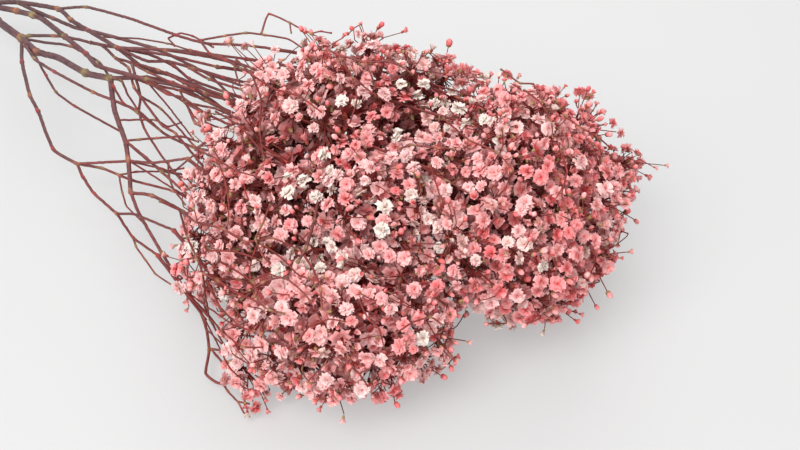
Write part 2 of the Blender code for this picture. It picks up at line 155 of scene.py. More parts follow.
# Florets face away from this point, pulled a little towards their stalk's direction
FACING_POINT = (0, 0, 23)
STALK_PULL = 0.28

# Floret layers: inner and outer depth as a share of the lobe's radius, and spacing
LAYERS = [(0.86, 1.0, 12.2), (0.50, 0.84, 13.4)]
CANDIDATES = 60000
SEARCH_LOW = (-110, -110, 5.6)
SEARCH_HIGH = (100, 115, 98)
STEM_SIDE_THINNING = 0.12  # how much wider the spacing is on the side of the stem
CELL_MARGIN = 1.6  # least distance from a floret's middle to the side of its cone

# Three of the solids' florets are pressed flat on the surface, round the weight
REST_SPOTS = [(18, -62), (50, 56), (-42, 12)]
REST_HEIGHT = 2.5

# The solids' florets are larger than life. Here each is the place of a cluster of small ones
FLORET_RADIUS = 7.1
SMALLEST_FLORET = 3.4
FLORET_CLEARANCE = 0.45
SURFACE_INSET = 5.6  # floret middles lie this far inside the lobes
# Their stalks
STALK_THICKNESS = 1.2
NECK_DEPTH = 4.4
ROOT_SUNK = 0.4
CLUSTER_SIZE = 3
CLUSTER_REACH = 19.0
CLUSTER_ROOTS = (0.48, 0.74)
ROOT_JITTER = 0.06

# The main axis of a spray, and where stalks leave it
FLORETS_PER_RUN = 5
MIN_RUN = 9.0
AXIS_WANDER = 0.45
AXIS_TIP = 0.92
AXIS_SAMPLES = 40
ROOT_SETBACK = 0.6
ROOT_SPACING = 2.4
STEM_CLEARANCE = 1.8
PRUNING_ROUNDS = 8
SAME_PLACE = 0.01  # ends this close belong to the same stalk

# Fine twigs that the solids leave out, each given as a branch is
TWIGS = [
    (1.9, 1.6, [(-251, 6, 24), (-237, 5, 26), (-219, 4, 29), (-201, 3, 32), "back"]),
    (1.6, 1.4, ["lower", (-222, -8, 24), (-209, -3, 27), "middle"]),
    (1.3, 1.1, ["lower", (-219, -10, 24), (-210, -9, 26), (-191, -7, 31), (-166, -10, 35), "bend"]),
    (1.2, 1.0, ["lower", (-218, -14, 23), (-205, -17, 24), (-191, -22, 23), (-177, -27, 23), (-161, -29, 24),
                (-128, -29, 26)]),
    (1.1, 0.9, ["bend", (-149, -16, 33), (-138, -20, 32), (-129, -20, 31), (-113, -21, 30)]),
    (1.1, 0.9, ["bend", (-150, -11, 33), (-141, -15, 32), (-130, -19, 32)]),
    (1.1, 0.9, ["rise", (-150, -6, 40), (-133, -9, 44), (-115, -11, 48), (-99, -12, 52)]),
    (1.0, 0.8, [(-82, -27, 40), (-75, -18, 48), (-67, -16, 55), (-60, -16, 60)]),
    (1.0, 0.8, ["heart", (-124, -14, 44), (-112, -16, 46), (-102, -16, 49), (-87, -18, 50)]),
    (1.0, 0.8, ["drop", (-117, -29, 28), (-108, -27, 32), (-97, -23, 36), (-85, -24, 40)]),
    (0.9, 0.7, [(-113, -38, 24), (-97, -34, 26), (-85, -34, 28)]),
    (0.9, 0.7, [(-113, -38, 24), (-100, -38, 24), (-87, -38, 24), (-76, -39, 26)]),
    (1.2, 0.9, ["outer", (-128, -42, 15), (-118, -41, 16), (-109, -41, 18), (-85, -39, 24), (-69, -41, 28)]),
    (0.8, 0.7, [(-118, -41, 16), (-110, -46, 14), (-104, -49, 12), (-92, -51, 12)]),
    (0.9, 0.7, ["outer_end", (-96, -57, 12), (-88, -59, 11), (-84, -61, 10), (-76, -63, 9), (-68, -65, 8),
                (-59, -65, 8)]),
    (0.8, 0.7, [(-94, -33, 30), (-88, -38, 30), (-82, -41, 28), (-73, -43, 26)]),
    (0.9, 0.7, [(-43, -61, 19), (-37, -67, 14), (-34, -68, 10), (-31, -69, 9), (-20, -73, 7)]),
    (1.0, 0.8, [(-43, -61, 19), (-29, -66, 15), (-26, -65, 14), (-16, -69, 13), (-10, -67, 14)]),
    (0.8, 0.7, [(-16, -69, 13), (-14, -72, 12), (-8, -73, 10)]),
    (1.0, 0.8, [(-43, -61, 19), (-41, -59, 20), (-32, -59, 21), (-21, -58, 22), (-15, -59, 22)]),
    (1.0, 0.8, [(-62, -59, 12), (-60, -53, 14), (-54, -50, 18), (-40, -49, 24)]),
    (1.0, 0.9, [(-62, -59, 12), (-55, -61, 14), (-46, -62, 17), (-43, -61, 19)]),
    (0.8, 0.7, [(-10, -84, 4), (-4, -86, 5), (2, -87, 5), (6, -85, 5)]),
    (0.7, 0.6, [(2, -87, 5), (6, -88, 3), (9, -88, 3)]),
    (0.9, 0.7, [(-24, -76, 5), (-20, -77, 5), (-12, -79, 6), (-7, -79, 6), (1, -78, 8)]),
    (0.9, 0.7, [(-24, -76, 5), (-19, -74, 6), (-8, -73, 9), (0, -73, 12)]),
    (1.1, 0.8, [(-115, 6, 60), (-102, 0, 62), (-91, -1, 64), (-80, -3, 66), (-64, -7, 72), (-50, -11, 76)]),
    (1.2, 0.9, [(-120, 4, 54), (-99, 3, 60), (-77, 0, 66), (-56, -6, 72)]),
    (1.2, 0.9, [(-114, -2, 51), (-98, -5, 54), (-76, -7, 60)]),
    (1.2, 0.9, [(-111, -8, 48), (-87, -8, 53), (-69, -14, 58)]),
    (1.0, 0.8, ["crest", (-81, -17, 54), (-62, -21, 60)]),
    (0.8, 0.6, [(-84, -3, 65), (-78, -7, 64), (-73, -9, 62)]),
    (0.9, 0.7, [(-115, 6, 60), (-106, 12, 63), (-99, 17, 65), (-91, 20, 66), (-80, 23, 67), (-64, 22, 66)]),
    (0.9, 0.6, [(-93, 20, 66), (-99, 30, 68), (-89, 32, 67), (-78, 33, 66), (-73, 34, 65)]),
    (0.6, 0.6, [(-78, 33, 66), (-76, 37, 66), (-72, 39, 66)]),
    (0.7, 0.6, [(-89, 32, 67), (-84, 28, 66)]),
    (1.2, 0.9, [(10, -62, 58), (8, -56, 59), (-3, -41, 56), (-9, -32, 60), (-11, -25, 58), (-12, -12, 51),
                (-7, -7, 50), (-5, -3, 48)]),
    (0.9, 0.7, [(-39, 5, 88), (-34, 4, 89), (-24, 8, 88), (-19, 15, 87), (-14, 19, 84), (-12, 20, 82)]),
    (0.8, 0.6, [(-24, 8, 88), (-19, 6, 85), (-17, 6, 81)]),
    (0.8, 0.6, [(1, -80, 48), (6, -74, 55), (12, -70, 58), (20, -70, 57), (24, -70, 55)]),
    (0.9, 0.8, [(-131, 5, 51), (-140, 9, 49), (-138, 14, 50), (-130, 14, 52), (-122, 12, 54), (-112, 10, 56)]),
    (0.8, 0.7, [(-178, 0, 38), (-156, 5, 44), (-136, 5, 50), (-120, 4, 54)]),
    (1.4, 1.1, ["crown", (-140, -4, 44), (-128, -2, 48), (-111, -2, 52), (-90, -4, 58), (-75, -4, 62)]),
    (1.2, 0.9, [(-146, -7, 41), (-135, -13, 33), (-129, -19, 31), (-118, -25, 30), (-99, -32, 30),
                (-82, -37, 30), (-73, -39, 30)]),
    (1.1, 0.8, [(-135, -13, 33), (-119, -15, 35), (-98, -22, 38), (-84, -27, 40), (-73, -29, 42)]),
    (1.2, 0.9, [(-148, -13, 39), (-133, -10, 39), (-112, -9, 44), (-93, -10, 48), (-71, -12, 52)]),
    (0.9, 0.7, [(-113, -9, 44), (-92, -19, 46), (-71, -22, 52), (-65, -14, 56)]),
    (0.9, 0.7, [(-134, -26, 28), (-117, -20, 33), (-106, -22, 36), (-102, -18, 38)]),
    (0.8, 0.7, [(-118, -41, 16), (-111, -37, 19), (-100, -32, 22), (-91, -28, 26)]),
    (0.9, 0.7, [(-132, -10, 39), (-116, -14, 38), (-102, -19, 39), (-88, -24, 40)]),
    (0.9, 0.7, [(-95, -10, 48), (-84, -11, 50), (-72, -15, 53), (-58, -19, 56)]),
    (0.8, 0.7, [(-91, -34, 27), (-87, -26, 33), (-81, -24, 38)]),
    (1.8, 1.4, ["crown", (-142, -3, 38), (-131, -1, 40), (-110, -2, 44), (-82, -6, 50), (-68, -8, 54)]),
    (1.9, 1.4, ["bend", (-141, -4, 35), (-126, -2, 38), (-103, -5, 42), (-79, -9, 48)]),
    (1.5, 1.1, [(-184, -1, 33), (-165, 0, 38), (-140, 7, 44), (-110, 6, 54), (-86, 3, 62)]),
    (0.8, 0.6, [(-15, -50, 62), (-11, -58, 60), (-9, -63, 58), (-5, -64, 54), (1, -66, 55)]),
    (0.7, 0.6, [(7, 48, 79), (24, 37, 86), (27, 41, 85), (37, 33, 86)]),
]

# Red twigs that arch over the florets
OVER_TWIGS = [
    (1.0, 0.8, [(-78, -51, 30), (-66, -51, 32), (-33, -69, 56), (-22, -66, 57), (-12, -65, 56)]),
    (0.9, 0.7, [(-66, -51, 32), (-35, -72, 50), (-27, -75, 47), (-22, -77, 44), (-22, -77, 32),
                (-24, -75, 19)]),
    (0.9, 0.7, [(-22, -77, 44), (-15, -76, 44), (-1, -80, 50), (7, -80, 52), (14, -79, 51), (19, -77, 51)]),
    (0.8, 0.6, [(-20, -77, 42), (-6, -84, 44), (5, -87, 46), (9, -86, 44)]),
    (0.8, 0.6, [(-37, -74, 39), (-26, -75, 48), (-23, -73, 51), (-13, -69, 54), (-2, -67, 55)]),
    (0.9, 0.6, [(7, -57, 58), (18, -62, 59), (25, -66, 58), (29, -70, 54)]),
    (0.8, 0.6, [(-12, -65, 56), (-6, -58, 57), (6, -57, 58)]),
    (0.8, 0.6, [(-8, -62, 56), (3, -63, 57), (15, -66, 58), (21, -64, 58)]),
    (0.7, 0.5, [(44, -74, 38), (45, -73, 41), (47, -72, 39), (50, -71, 34)]),
    (0.9, 0.7, [(-86, 0, 66), (-59, -16, 79), (-49, -21, 75), (-42, -29, 69), (-28, -40, 69)]),
    (0.8, 0.6, [(-59, -16, 79), (-46, -17, 79), (-35, -15, 80), (-26, -13, 76)]),
    (0.8, 0.6, [(-77, -20, 56), (-49, -32, 69), (-32, -37, 69), (-25, -35, 69)]),
    (0.8, 0.6, [(-73, -35, 48), (-42, -50, 68), (-32, -55, 66), (-25, -60, 62), (-22, -64, 58)]),
    (0.7, 0.5, [(-42, -50, 68), (-32, -50, 68), (-23, -47, 68)]),
    (0.8, 0.6, [(-31, 2, 89), (-23, 0, 86), (-18, -3, 80), (-17, -8, 73)]),
    (0.7, 0.5, [(-23, 0, 86), (-16, 2, 82), (-10, 5, 78)]),
    (0.7, 0.5, [(9, -11, 76), (11, -6, 76), (20, -2, 77), (26, -1, 79)]),
    (0.7, 0.5, [(20, -7, 73), (27, -12, 72), (34, -17, 70), (34, -19, 65)]),
    (0.8, 0.6, [(13, 8, 81), (30, 2, 83), (41, 3, 83), (49, 2, 80)]),
    (0.7, 0.5, [(30, 31, 89), (38, 30, 88), (46, 26, 86), (50, 22, 83)]),
    (0.7, 0.5, [(46, 34, 84), (54, 32, 84), (60, 35, 81), (64, 38, 76)]),
    (0.7, 0.5, [(54, 21, 81), (61, 16, 78), (65, 8, 75), (69, 6, 71)]),
    (0.7, 0.5, [(36, -60, 56), (42, -62, 53), (46, -61, 50), (49, -62, 44)]),
    (0.7, 0.5, [(49, -57, 47), (51, -51, 49), (53, -44, 48), (56, -41, 44)]),
    (0.7, 0.5, [(27, -79, 46), (29, -75, 51), (34, -71, 54), (37, -67, 52)]),
    (0.8, 0.6, [(-50, -65, 10), (-4, -84, 39), (6, -86, 43), (13, -85, 45)]),
    (0.8, 0.6, [(-42, -66, 8), (1, -87, 36), (10, -88, 38), (17, -86, 41)]),
    (0.7, 0.5, [(-32, -71, 6), (6, -89, 32), (14, -89, 33), (20, -88, 33)]),
    (0.7, 0.5, [(-42, -66, 8), (-1, -89, 29), (4, -90, 25), (7, -86, 17)]),
    (0.8, 0.6, [(-60, -62, 11), (-19, -75, 36), (-2, -80, 48), (4, -78, 53)]),
    (0.8, 0.6, [(-19, -71, 47), (-11, -72, 49), (2, -75, 53), (9, -78, 52)]),
    (0.7, 0.5, [(1, -75, 53), (5, -71, 56), (11, -69, 56)]),
    (0.7, 0.5, [(6, -78, 51), (-3, -72, 53), (-8, -65, 54), (-10, -59, 58)]),
]

# Buds that stand out from the edge of the flower head
EDGE_BUDS = [
    (39, -72, 11), (39, -59, 17), (31, -75, 13), (50, -57, 14), (52, -37, 23), (57, -37, 21),
    (57, -28, 27), (65, 5, 13), (72, 15, 16), (72, 18, 17), (75, 23, 19), (80, 22, 29),
    (78, 36, 39), (57, 75, 17), (51, 78, 24), (52, 81, 26), (53, 86, 31), (54, 89, 34),
    (57, 92, 35), (50, 58, 65), (45, 59, 69), (38, 63, 75), (39, 60, 72), (37, 58, 70),
    (36, 63, 76), (25, 52, 71), (54, 70, 14), (13, 51, 77), (-19, 49, 79), (-33, 39, 83),
    (-48, 26, 84), (-62, 13, 84), (-73, -2, 79), (-80, -8, 81),
]

# Florets that stand out from the head's edge
EDGE_FLORETS = [
    (1, -88, 30), (-5, -82, 13), (0, -85, 11), (5, -84, 8), (9, -85, 5), (8, -88, 4),
    (10, -81, 7), (-47, -70, 17), (-43, -70, 13), (-50, -68, 23), (-52, -66, 32), (-55, -68, 27),
    (-41, -72, 11), (-80, -22, 54), (-79, -26, 54), (-76, -27, 52), (-80, -30, 50), (-74, -26, 48),
    (-82, -25, 56), (-66, -9, 62), (-73, 2, 70), (-69, -9, 66), (-69, -14, 60), (-1, -89, 29),
    (13, -83, 5), (6, -87, 6), (-98, 7, 66), (-91, 9, 66), (-73, 9, 72), (-67, -27, 50),
    (-70, -29, 46), (-65, -19, 58), (-14, 47, 71), (-11, 49, 69), (-8, 50, 68), (-10, 50, 70),
    (-7, 52, 69), (-1, 49, 71), (1, 50, 73), (4, 51, 73), (7, 52, 75), (-5, 51, 66),
    (1, 48, 70), (-17, 47, 73), (33, 68, 69), (37, 68, 67), (40, 68, 65), (47, 65, 65),
    (51, 65, 62), (30, 67, 70),
]

# Places on the head where the dye has hardly taken, and how far each reaches
PALE_SPOTS = [
    (-15, 5, 17, 16), (-19, -32, 64, 14), (-23, -4, 78, 12), (9, 19, 81, 12), (-5, -3, 48, 13),
    (30, -21, 60, 13), (23, -51, 60, 10), (45, -22, 58, 12), (-10, -70, 50, 10), (57, -5, 74, 12),
    (-13, -37, 62, 10), (0, 8, 70, 12), (54, -21, 57, 10), (-13, -28, 60, 10), (-4, 27, 76, 12),
    (19, 15, 86, 12), (24, -33, 63, 11), (-15, -35, 68, 10), (-21, -6, 80, 11), (12, 16, 84, 12),
    (42, 14, 85, 10), (-9, -52, 62, 9), (7, -34, 71, 10), (60, -15, 65, 9),
]

# Dark pockets in the head's surface, where no floret stands, and how far each reaches
POCKETS = [
    (-8, -71, 51, 11), (1, -65, 56, 8), (34, -45, 58, 9), (16, -30, 71, 7), (-13, -3, 74, 6),
    (37, -34, 56, 7), (-13, -45, 66, 6), (63, 32, 79, 5), (50, -16, 72, 6), (36, -73, 50, 6),
    (49, -3, 79, 5), (36, -41, 57, 10), (17, -33, 68, 9), (10, -39, 65, 6), (46, -36, 52, 6),
    (1, -87, 43, 9), (9, -90, 38, 9), (6, -75, 55, 9), (-6, -79, 48, 8), (-12, -65, 56, 7),
    (3, -39, 66, 6), (20, -43, 60, 7), (1, -50, 57, 6), (38, -14, 73, 6), (30, -24, 61, 5),
    (-8, -43, 64, 5), (41, -25, 58, 5),
]

# Colours as a picture shows them
PINKS = [(254, 212, 208), (254, 183, 180), (250, 150, 151), (240, 112, 114)]  # from the palest
CREAM = (242, 234, 222)
PETAL_RIM = (255, 244, 242)
CALYX_RED = (176, 84, 70)
CALYX_OLIVE = (168, 140, 96)
BARK_THICK = (100, 72, 76)
BARK_THIN = (128, 58, 54)
BARK_GREY = (106, 76, 77)  # thin branches far from the head
TWIG_RED = (128, 40, 34)
CUT_WOOD = (206, 172, 140)
KNOTS = [(158, 140, 92), (178, 122, 88), (176, 64, 60)]  # olive, orange and red
FLOOR_COLOUR = (152, 152, 152)

# How the florets are coloured
PAINTED_DEPTH_SHADE = (0.44, 0.11, 0.10)  # painted shade: deep in the head, florets darken to this share of their colour
SHADED_DEPTHS = (0.50, 0.86)  # between these depths in the head
FOOT_DYE_AND_SHADE = (0.90, 0.55, 0.55)  # petals are deeper in colour at the foot: deeper dye there, with painted shade where the petals crowd together
RIM_SHARE = 0.22  # and paler at the rim
CREAM_SHARE = 0.08  # of all florets, and the share that the middle of a pale spot adds
PALE_SHARE = 0.9
CREAM_DEPTH = 0.84  # deeper in the head no floret is cream
LEAST_DYE = (0.56, 0.32, 0.10, 0.02)  # share of each pink where the dye is thinnest
MOST_DYE = (0.16, 0.34, 0.32, 0.18)
DYE_GROWS = (0.0050, 0.0045)  # how it grows across the head, per millimetre
CALYX_REDS = 0.6

# How the bark is coloured and swollen
GREY_ENDS = (-215, -120)  # where along x the grey begins and ends to turn red
GREY_REDS = (0.1, 1.0)
KNOTS_THICK = (0.6, 0.4, 0.0)  # share of each knot's colour
KNOTS_THIN = (0.35, 0.3, 0.35)
PLAIN_JOINTS = 0.35  # share of the bends in a branch that aren't swollen
JOINT_SWELL = 0.45
JOINT_REACH = (0.5, 0.6)  # a length, and a share of the branch's radius
STAIN_REACH = (0.8, 0.8)
SLIMMER = ((1.4, 1.9, 2.6), (0.72, 0.78, 1.0))  # thickness in the solids, and its share here

# Kinds of floret: number of petals, how wide they open, their width and curl, and the calyx: its radius,
# its foot, its rim and its teeth. Angles are in radians, and the unit of length is the floret's radius
OPEN, HALF_OPEN, BUD, PLAIN = range(4)
OPEN_FLORET = (22, (1.5, 1.9), 0.38, 1.35, (0.26, -0.74, -0.22, 0.10))
HALF_OPEN_FLORET = (15, (0.6, 0.9), 0.34, 0.2, (0.30, -0.80, -0.16, 0.12))
PLAIN_FLORET = (12, (1.4, 1.7), 0.46, 1.1, (0.26, -0.74, -0.22, 0.10))  # for the depths of the head
BUD_CALYX = (0.60, -0.95, -0.25, 0.14)
FORM_COUNTS = (16, 6, 5, 10)  # different forms of each kind
GOLDEN_ANGLE = 2.4

# Flower clusters, and the loose twigs that arch out of them
HUB_DEPTH = 5.2  # a cluster's stalks part this far under its middle
FLORETS_A_CLUSTER = 12.5
GROUPS = 3
KIND_SHARES = (0.70, 0.17, 0.13)  # of open and half-open florets and buds
KIND_SIZES = (1.0, 0.80, 0.55)
CLUSTER_RADII = (1.8, 2.9)
PLAIN_DEPTH = 0.86  # deeper in the head, and where they look down below this height, florets are plain
PLAIN_HEIGHT = 14
SMALL_RADII = (1.1, 1.7)
LOOSE_TWIGS = 3

# The filling between clusters: inner and outer depth and spacing of each layer, and radii down to each depth
FILL_LAYERS = [(0.84, 1.03, 4.4), (0.62, 0.82, 5.0), (0.30, 0.60, 5.3)]
FILL_RADII = [(0.84, (2.0, 2.9)), (0.60, (3.1, 4.2)), (0, (4.2, 5.4))]
FILL_CANDIDATES = 120000
FILL_LOWEST = 2.2
OUTER_LAYER = 0.7
HOLLOWS = [((0.31, 0.12, 0.10), 0.3), ((-0.12, 0.33, 0.14), 2.0), ((0.15, -0.14, 0.34), 4.4)]
HOLLOW_LEVEL = -0.12
HOLLOW_DEPTH = 0.80
STEM_SIDE_LOSS = 0.20  # share of a cluster's florets that is missing on the side of the stem
STEM_SIDE_SPACING = 0.30  # how much wider the spacing of the filling is there

# The camera looks at this point of the plan. Its distance is in metres
VIEW_POINT = (0, 0, 30)
VIEW_DISTANCE = 0.5
VIEW_ELEVATION = math.radians(40)
VIEW_TURN = math.radians(42)


def unit(vector):
    """The vector's direction."""
    return vector / max(np.linalg.norm(vector), TINY)


def lobe_depth(points):
    """Gives each point's depth in the flower head: 1 on its surface and 0 in a lobe's middle."""
    turn = np.array([
        [math.cos(HEAD_TURN), math.sin(HEAD_TURN), 0],
        [-math.sin(HEAD_TURN), math.cos(HEAD_TURN), 0],
        [0, 0, 1],
    ])
    depths = []
    for centre, radii in LOBES:
        inner = np.array(radii) - SURFACE_INSET
        depths.append(np.linalg.norm((points - centre) @ turn.T / inner, axis=1))
    waves = [np.sin(points @ np.array(way) + start) for way, start in WAVES]
    return np.min(depths, axis=0) * (1 + WAVE_HEIGHT * np.mean(waves, axis=0))


def cell_of(points):
    """Gives the cone that each point lies in, and how far it is from that cone's sides."""
    hub = np.array(HUB)
    directions = np.array([unit(np.array(start) - hub) for start in SPRAY_STARTS])
    along = (points - hub) @ directions.T
    best = np.argmax(along, axis=1)
    margin = np.full(len(points), FAR)
    for other in range(len(directions)):
        step = directions[best] - directions[other]
        length = np.linalg.norm(step, axis=1)
        inside = np.einsum("ij,ij->i", points - hub, step) / np.maximum(length, TINY)
        margin = np.where(length > 0, np.minimum(margin, inside), margin)
    return best, margin


def segment_distance(point, starts, ends):
    """Distance from one point to many straight segments."""
    span = ends - starts
    share = np.einsum("ij,ij->i", point - starts, span) / np.maximum(np.einsum("ij,ij->i", span, span), TINY)
    nearest = starts + np.clip(share, 0, 1)[:, None] * span
    return np.linalg.norm(point - nearest, axis=1)


def segments_apart(a, b, c, d, steps=9):
    """Least distance between the segment a-b and the segments c-d, at points along a-b."""
    return min(segment_distance(a + (b - a) * t, c, d).min() for t in np.linspace(0, 1, steps))


def branch_points(branch):
    """Real points of a branch, from the names in its route."""
    named = {**FORKS, **dict(enumerate(SPRAY_STARTS))}
    return np.array([named.get(stop, stop) for stop in branch[2]], float)


def stem_segments():
    """Every straight run of the stem: starts, ends and radii."""
    routes = [branch_points(branch) for branch in BRANCHES]
    starts = np.concatenate([route[:-1] for route in routes])
    ends = np.concatenate([route[1:] for route in routes])
    return starts, ends, np.repeat([branch[0] / 2 for branch in BRANCHES], [len(route) - 1 for route in routes])


def facing_stem(points):
    """Cosine of the angle between the points' directions and the stem's, from the head's middle."""
    away = points - np.array(HEAD_MIDDLE)
    return away @ unit(np.array(HUB) - HEAD_MIDDLE) / np.linalg.norm(away, axis=-1)


def fill_gaps(points, room, gap, taken):
    """Numbers of the points that fill up the gaps between the places taken, the widest first."""
    for place in taken:
        gap = np.minimum(gap, np.linalg.norm(points - place, axis=1) / room)
    chosen = []
    while gap.max() > 1:
        chosen.append(np.argmax(gap))
        gap = np.minimum(gap, np.linalg.norm(points - points[chosen[-1]], axis=1) / room)
    return chosen


def place_florets(rng):
    """Fills the flower head layer by layer: each next floret goes where the gap is widest."""
    low, high = np.array(SEARCH_LOW), np.array(SEARCH_HIGH)
    starts, ends, radii = stem_segments()
    blocked = SMALLEST_FLORET + FLORET_CLEARANCE + radii
    places = [np.array([x, y, REST_HEIGHT]) for x, y in REST_SPOTS]
    for inner, outer, spacing in LAYERS:
        points = low + rng.random((CANDIDATES, 3)) * (high - low)
        depth = lobe_depth(points)
        margin = cell_of(points)[1]
        points = points[(depth > inner) & (depth <= outer) & (margin > CELL_MARGIN)]
        room = spacing * (1 + STEM_SIDE_THINNING * np.clip(facing_stem(points), 0, 1))
        clear = [(segment_distance(point, starts, ends) > blocked).all() for point in points]
        places += list(points[fill_gaps(points, room, np.where(clear, FAR, 0.0), places)])
    places = np.array(places)
    return places, cell_of(places)[0]


def path_point(path, distance):
    """Point at a distance along a path of straight runs."""
    for a, b in zip(path, path[1:]):
        length = np.linalg.norm(b - a)
        if distance <= length:
            return a + (b - a) * distance / max(length, TINY)
        distance -= length
    return path[-1]


def floret_axis(root, centre, rests):
    """A floret faces away from the middle of the flower head, but never back along its stalk."""
    if rests:
        return np.array([0.0, 0.0, -1.0])
    stalk = unit(centre - root)
    outward = unit(centre - np.array(FACING_POINT))
    facing = unit(outward + STALK_PULL * stalk)
    if facing @ stalk < STALK_PULL / 2:
        facing = unit(facing + STALK_PULL * 2 * stalk)
    return facing


def grow_spray(start, centres, rests, rng):
    """Grows one spray: its main axis, and the twigs and stalks that reach every floret."""
    reach = unit(centres.mean(axis=0) - start)
    base = start + reach * SEAT_GAP
    order = np.argsort((centres - base) @ reach)
    groups = np.array_split(order, max(1, round(len(order) / FLORETS_PER_RUN)))
    middles = [centres[group].mean(axis=0) for group in groups]
    tip = base + (middles[-1] - base) * AXIS_TIP
    line = unit(tip - base)
    path = [base]
    for middle in middles[:-1]:
        station = base + line * ((middle - base) @ line)
        if (station - path[-1]) @ line > MIN_RUN and (tip - station) @ line > MIN_RUN:
            path.append(station + (middle - station) * AXIS_WANDER)
    path.append(tip)
    length = sum(np.linalg.norm(b - a) for a, b in zip(path, path[1:]))
    stations = np.linspace(0, length, AXIS_SAMPLES)
    samples = np.array([path_point(path, station) for station in stations])
    stalks, taken = {}, []

    def grow_stalk(k, root):
        axis = floret_axis(root, centres[k], rests[k])
        stalks[k] = (root, centres[k] - axis * NECK_DEPTH, axis)

    left = list(order[::-1])
    while left:
        lead = left.pop(0)
        near = sorted(left, key=lambda k: np.linalg.norm(centres[k] - centres[lead]))[:CLUSTER_SIZE - 1]
        members = [k for k in near if np.linalg.norm(centres[k] - centres[lead]) < CLUSTER_REACH]
        left = [k for k in left if k not in members]
        gaps = np.linalg.norm(samples - centres[lead], axis=1)
        station = max(stations[np.argmin(gaps)] - ROOT_SETBACK * gaps.min(), ROOT_SPACING)
        while any(abs(station - other) < ROOT_SPACING for other in taken):
            station += ROOT_SPACING / 2
        taken.append(station)
        grow_stalk(lead, path_point(path, min(station, length - ROOT_SUNK)))
        root, neck = stalks[lead][:2]
        for share, k in zip(CLUSTER_ROOTS, members):
            grow_stalk(k, root + (neck - root) * (share + ROOT_JITTER * rng.random()))
    return path, stalks


def spray_segments(plan):
    """Every straight run of a spray: starts and ends."""
    path, stalks = plan["path"], plan["stalks"]
    runs = list(zip(path, path[1:])) + [stalks[k][:2] for k in stalks]
    return np.array([a for a, b in runs]), np.array([b for a, b in runs])


def plan_spray(index, ids, places):
    """Plan of one spray: its axis, and the stalk, middle and number of each floret."""
    rests = ids < len(REST_SPOTS)
    rng = np.random.default_rng(SEED + index)
    path, stalks = grow_spray(np.array(SPRAY_STARTS[index], float), places[ids], rests, rng)
    return {"path": path, "stalks": stalks, "centres": places[ids], "ids": ids, "rests": rests}


def floret_room(plan, k, own, others, stems):
    """Radius that one floret may have beside the stem, the other sprays and its own spray's twigs."""
    centre = plan["centres"][k]
    root, neck = plan["stalks"][k][:2]
    foreign = np.linalg.norm(own[1] - neck, axis=1) > SAME_PLACE
    foreign &= segment_distance(root, own[0], own[1]) > SAME_PLACE
    rooms = [
        FLORET_RADIUS + FLORET_CLEARANCE,
        segment_distance(centre, others[0], others[1]).min() - STALK_THICKNESS,
        (segment_distance(centre, stems[0], stems[1]) - stems[2]).min(),
    ]
    if foreign.any():
        rooms.append(segment_distance(centre, own[0][foreign], own[1][foreign]).min() - STALK_THICKNESS / 2)
    return min(rooms) - FLORET_CLEARANCE


def shrink_neighbours(places, cells, radii, keep):
    """Shrinks florets of different sprays until no two touch."""
    for i in np.flatnonzero(keep):
        gap = np.linalg.norm(places - places[i], axis=1)
        close = (gap < radii + radii[i] + FLORET_CLEARANCE) & keep & (cells != cells[i])
        for j in np.flatnonzero(close):
            share = min(1.0, (gap[j] - FLORET_CLEARANCE) / (radii[i] + radii[j]))
            radii[i] *= share
            radii[j] *= share


def plan_sprays():
    """Grows every spray, and drops the florets that would touch the stem or another spray."""
    places, cells = place_florets(np.random.default_rng(SEED))
    stems = stem_segments()
    keep = np.ones(len(places), bool)
    for _ in range(PRUNING_ROUNDS):
        plans = [plan_spray(index, np.flatnonzero(keep & (cells == index)), places)
                 for index in range(len(SPRAY_STARTS))]
        runs = [spray_segments(plan) for plan in plans]
        radii = np.full(len(places), FLORET_RADIUS)
        dropped = set()
        for index, plan in enumerate(plans):
            others = [np.concatenate([run[end] for k, run in enumerate(runs) if k != index]) for end in (0, 1)]
            for k, floret in enumerate(plan["ids"]):
                radii[floret] = floret_room(plan, k, runs[index], others, stems)
                root, neck = plan["stalks"][k][:2]
                away = np.linalg.norm(root - plan["path"][0]) > MIN_RUN
                if away and segments_apart(root, neck, stems[0], stems[1]) < STEM_CLEARANCE:
                    dropped.add(floret)
        shrink_neighbours(places, cells, radii, keep)
        dropped |= set(np.flatnonzero((radii < SMALLEST_FLORET) & keep)) - set(range(len(REST_SPOTS)))
        if not dropped:
            break
        keep[list(dropped)] = False
    for plan in plans:
        plan["radii"] = radii[plan["ids"]]
    return plans


def linear(colour):
    """A picture's colour as linear light."""
    value = np.array(colour, float) / 255
    return np.where(value <= 0.04045, value / 12.92, ((value + 0.055) / 1.055) ** 2.4)


def mix(a, b, share):
    """A blend of two values."""
    return np.asarray(a) * (1 - share) + np.asarray(b) * share


def depth_at(place):
    """Depth of one point in the flower head."""
    return lobe_depth(place[None])[0]


def new_object(name, data):
    """An object in the scene."""
    made = bpy.data.objects.new(name, data)
    bpy.context.scene.collection.objects.link(made)
    return made


def new_material(name):
    """A material, and its shader."""
    material = bpy.data.materials.new(name)
    material.use_nodes = True
    return material, material.node_tree.nodes["Principled BSDF"]


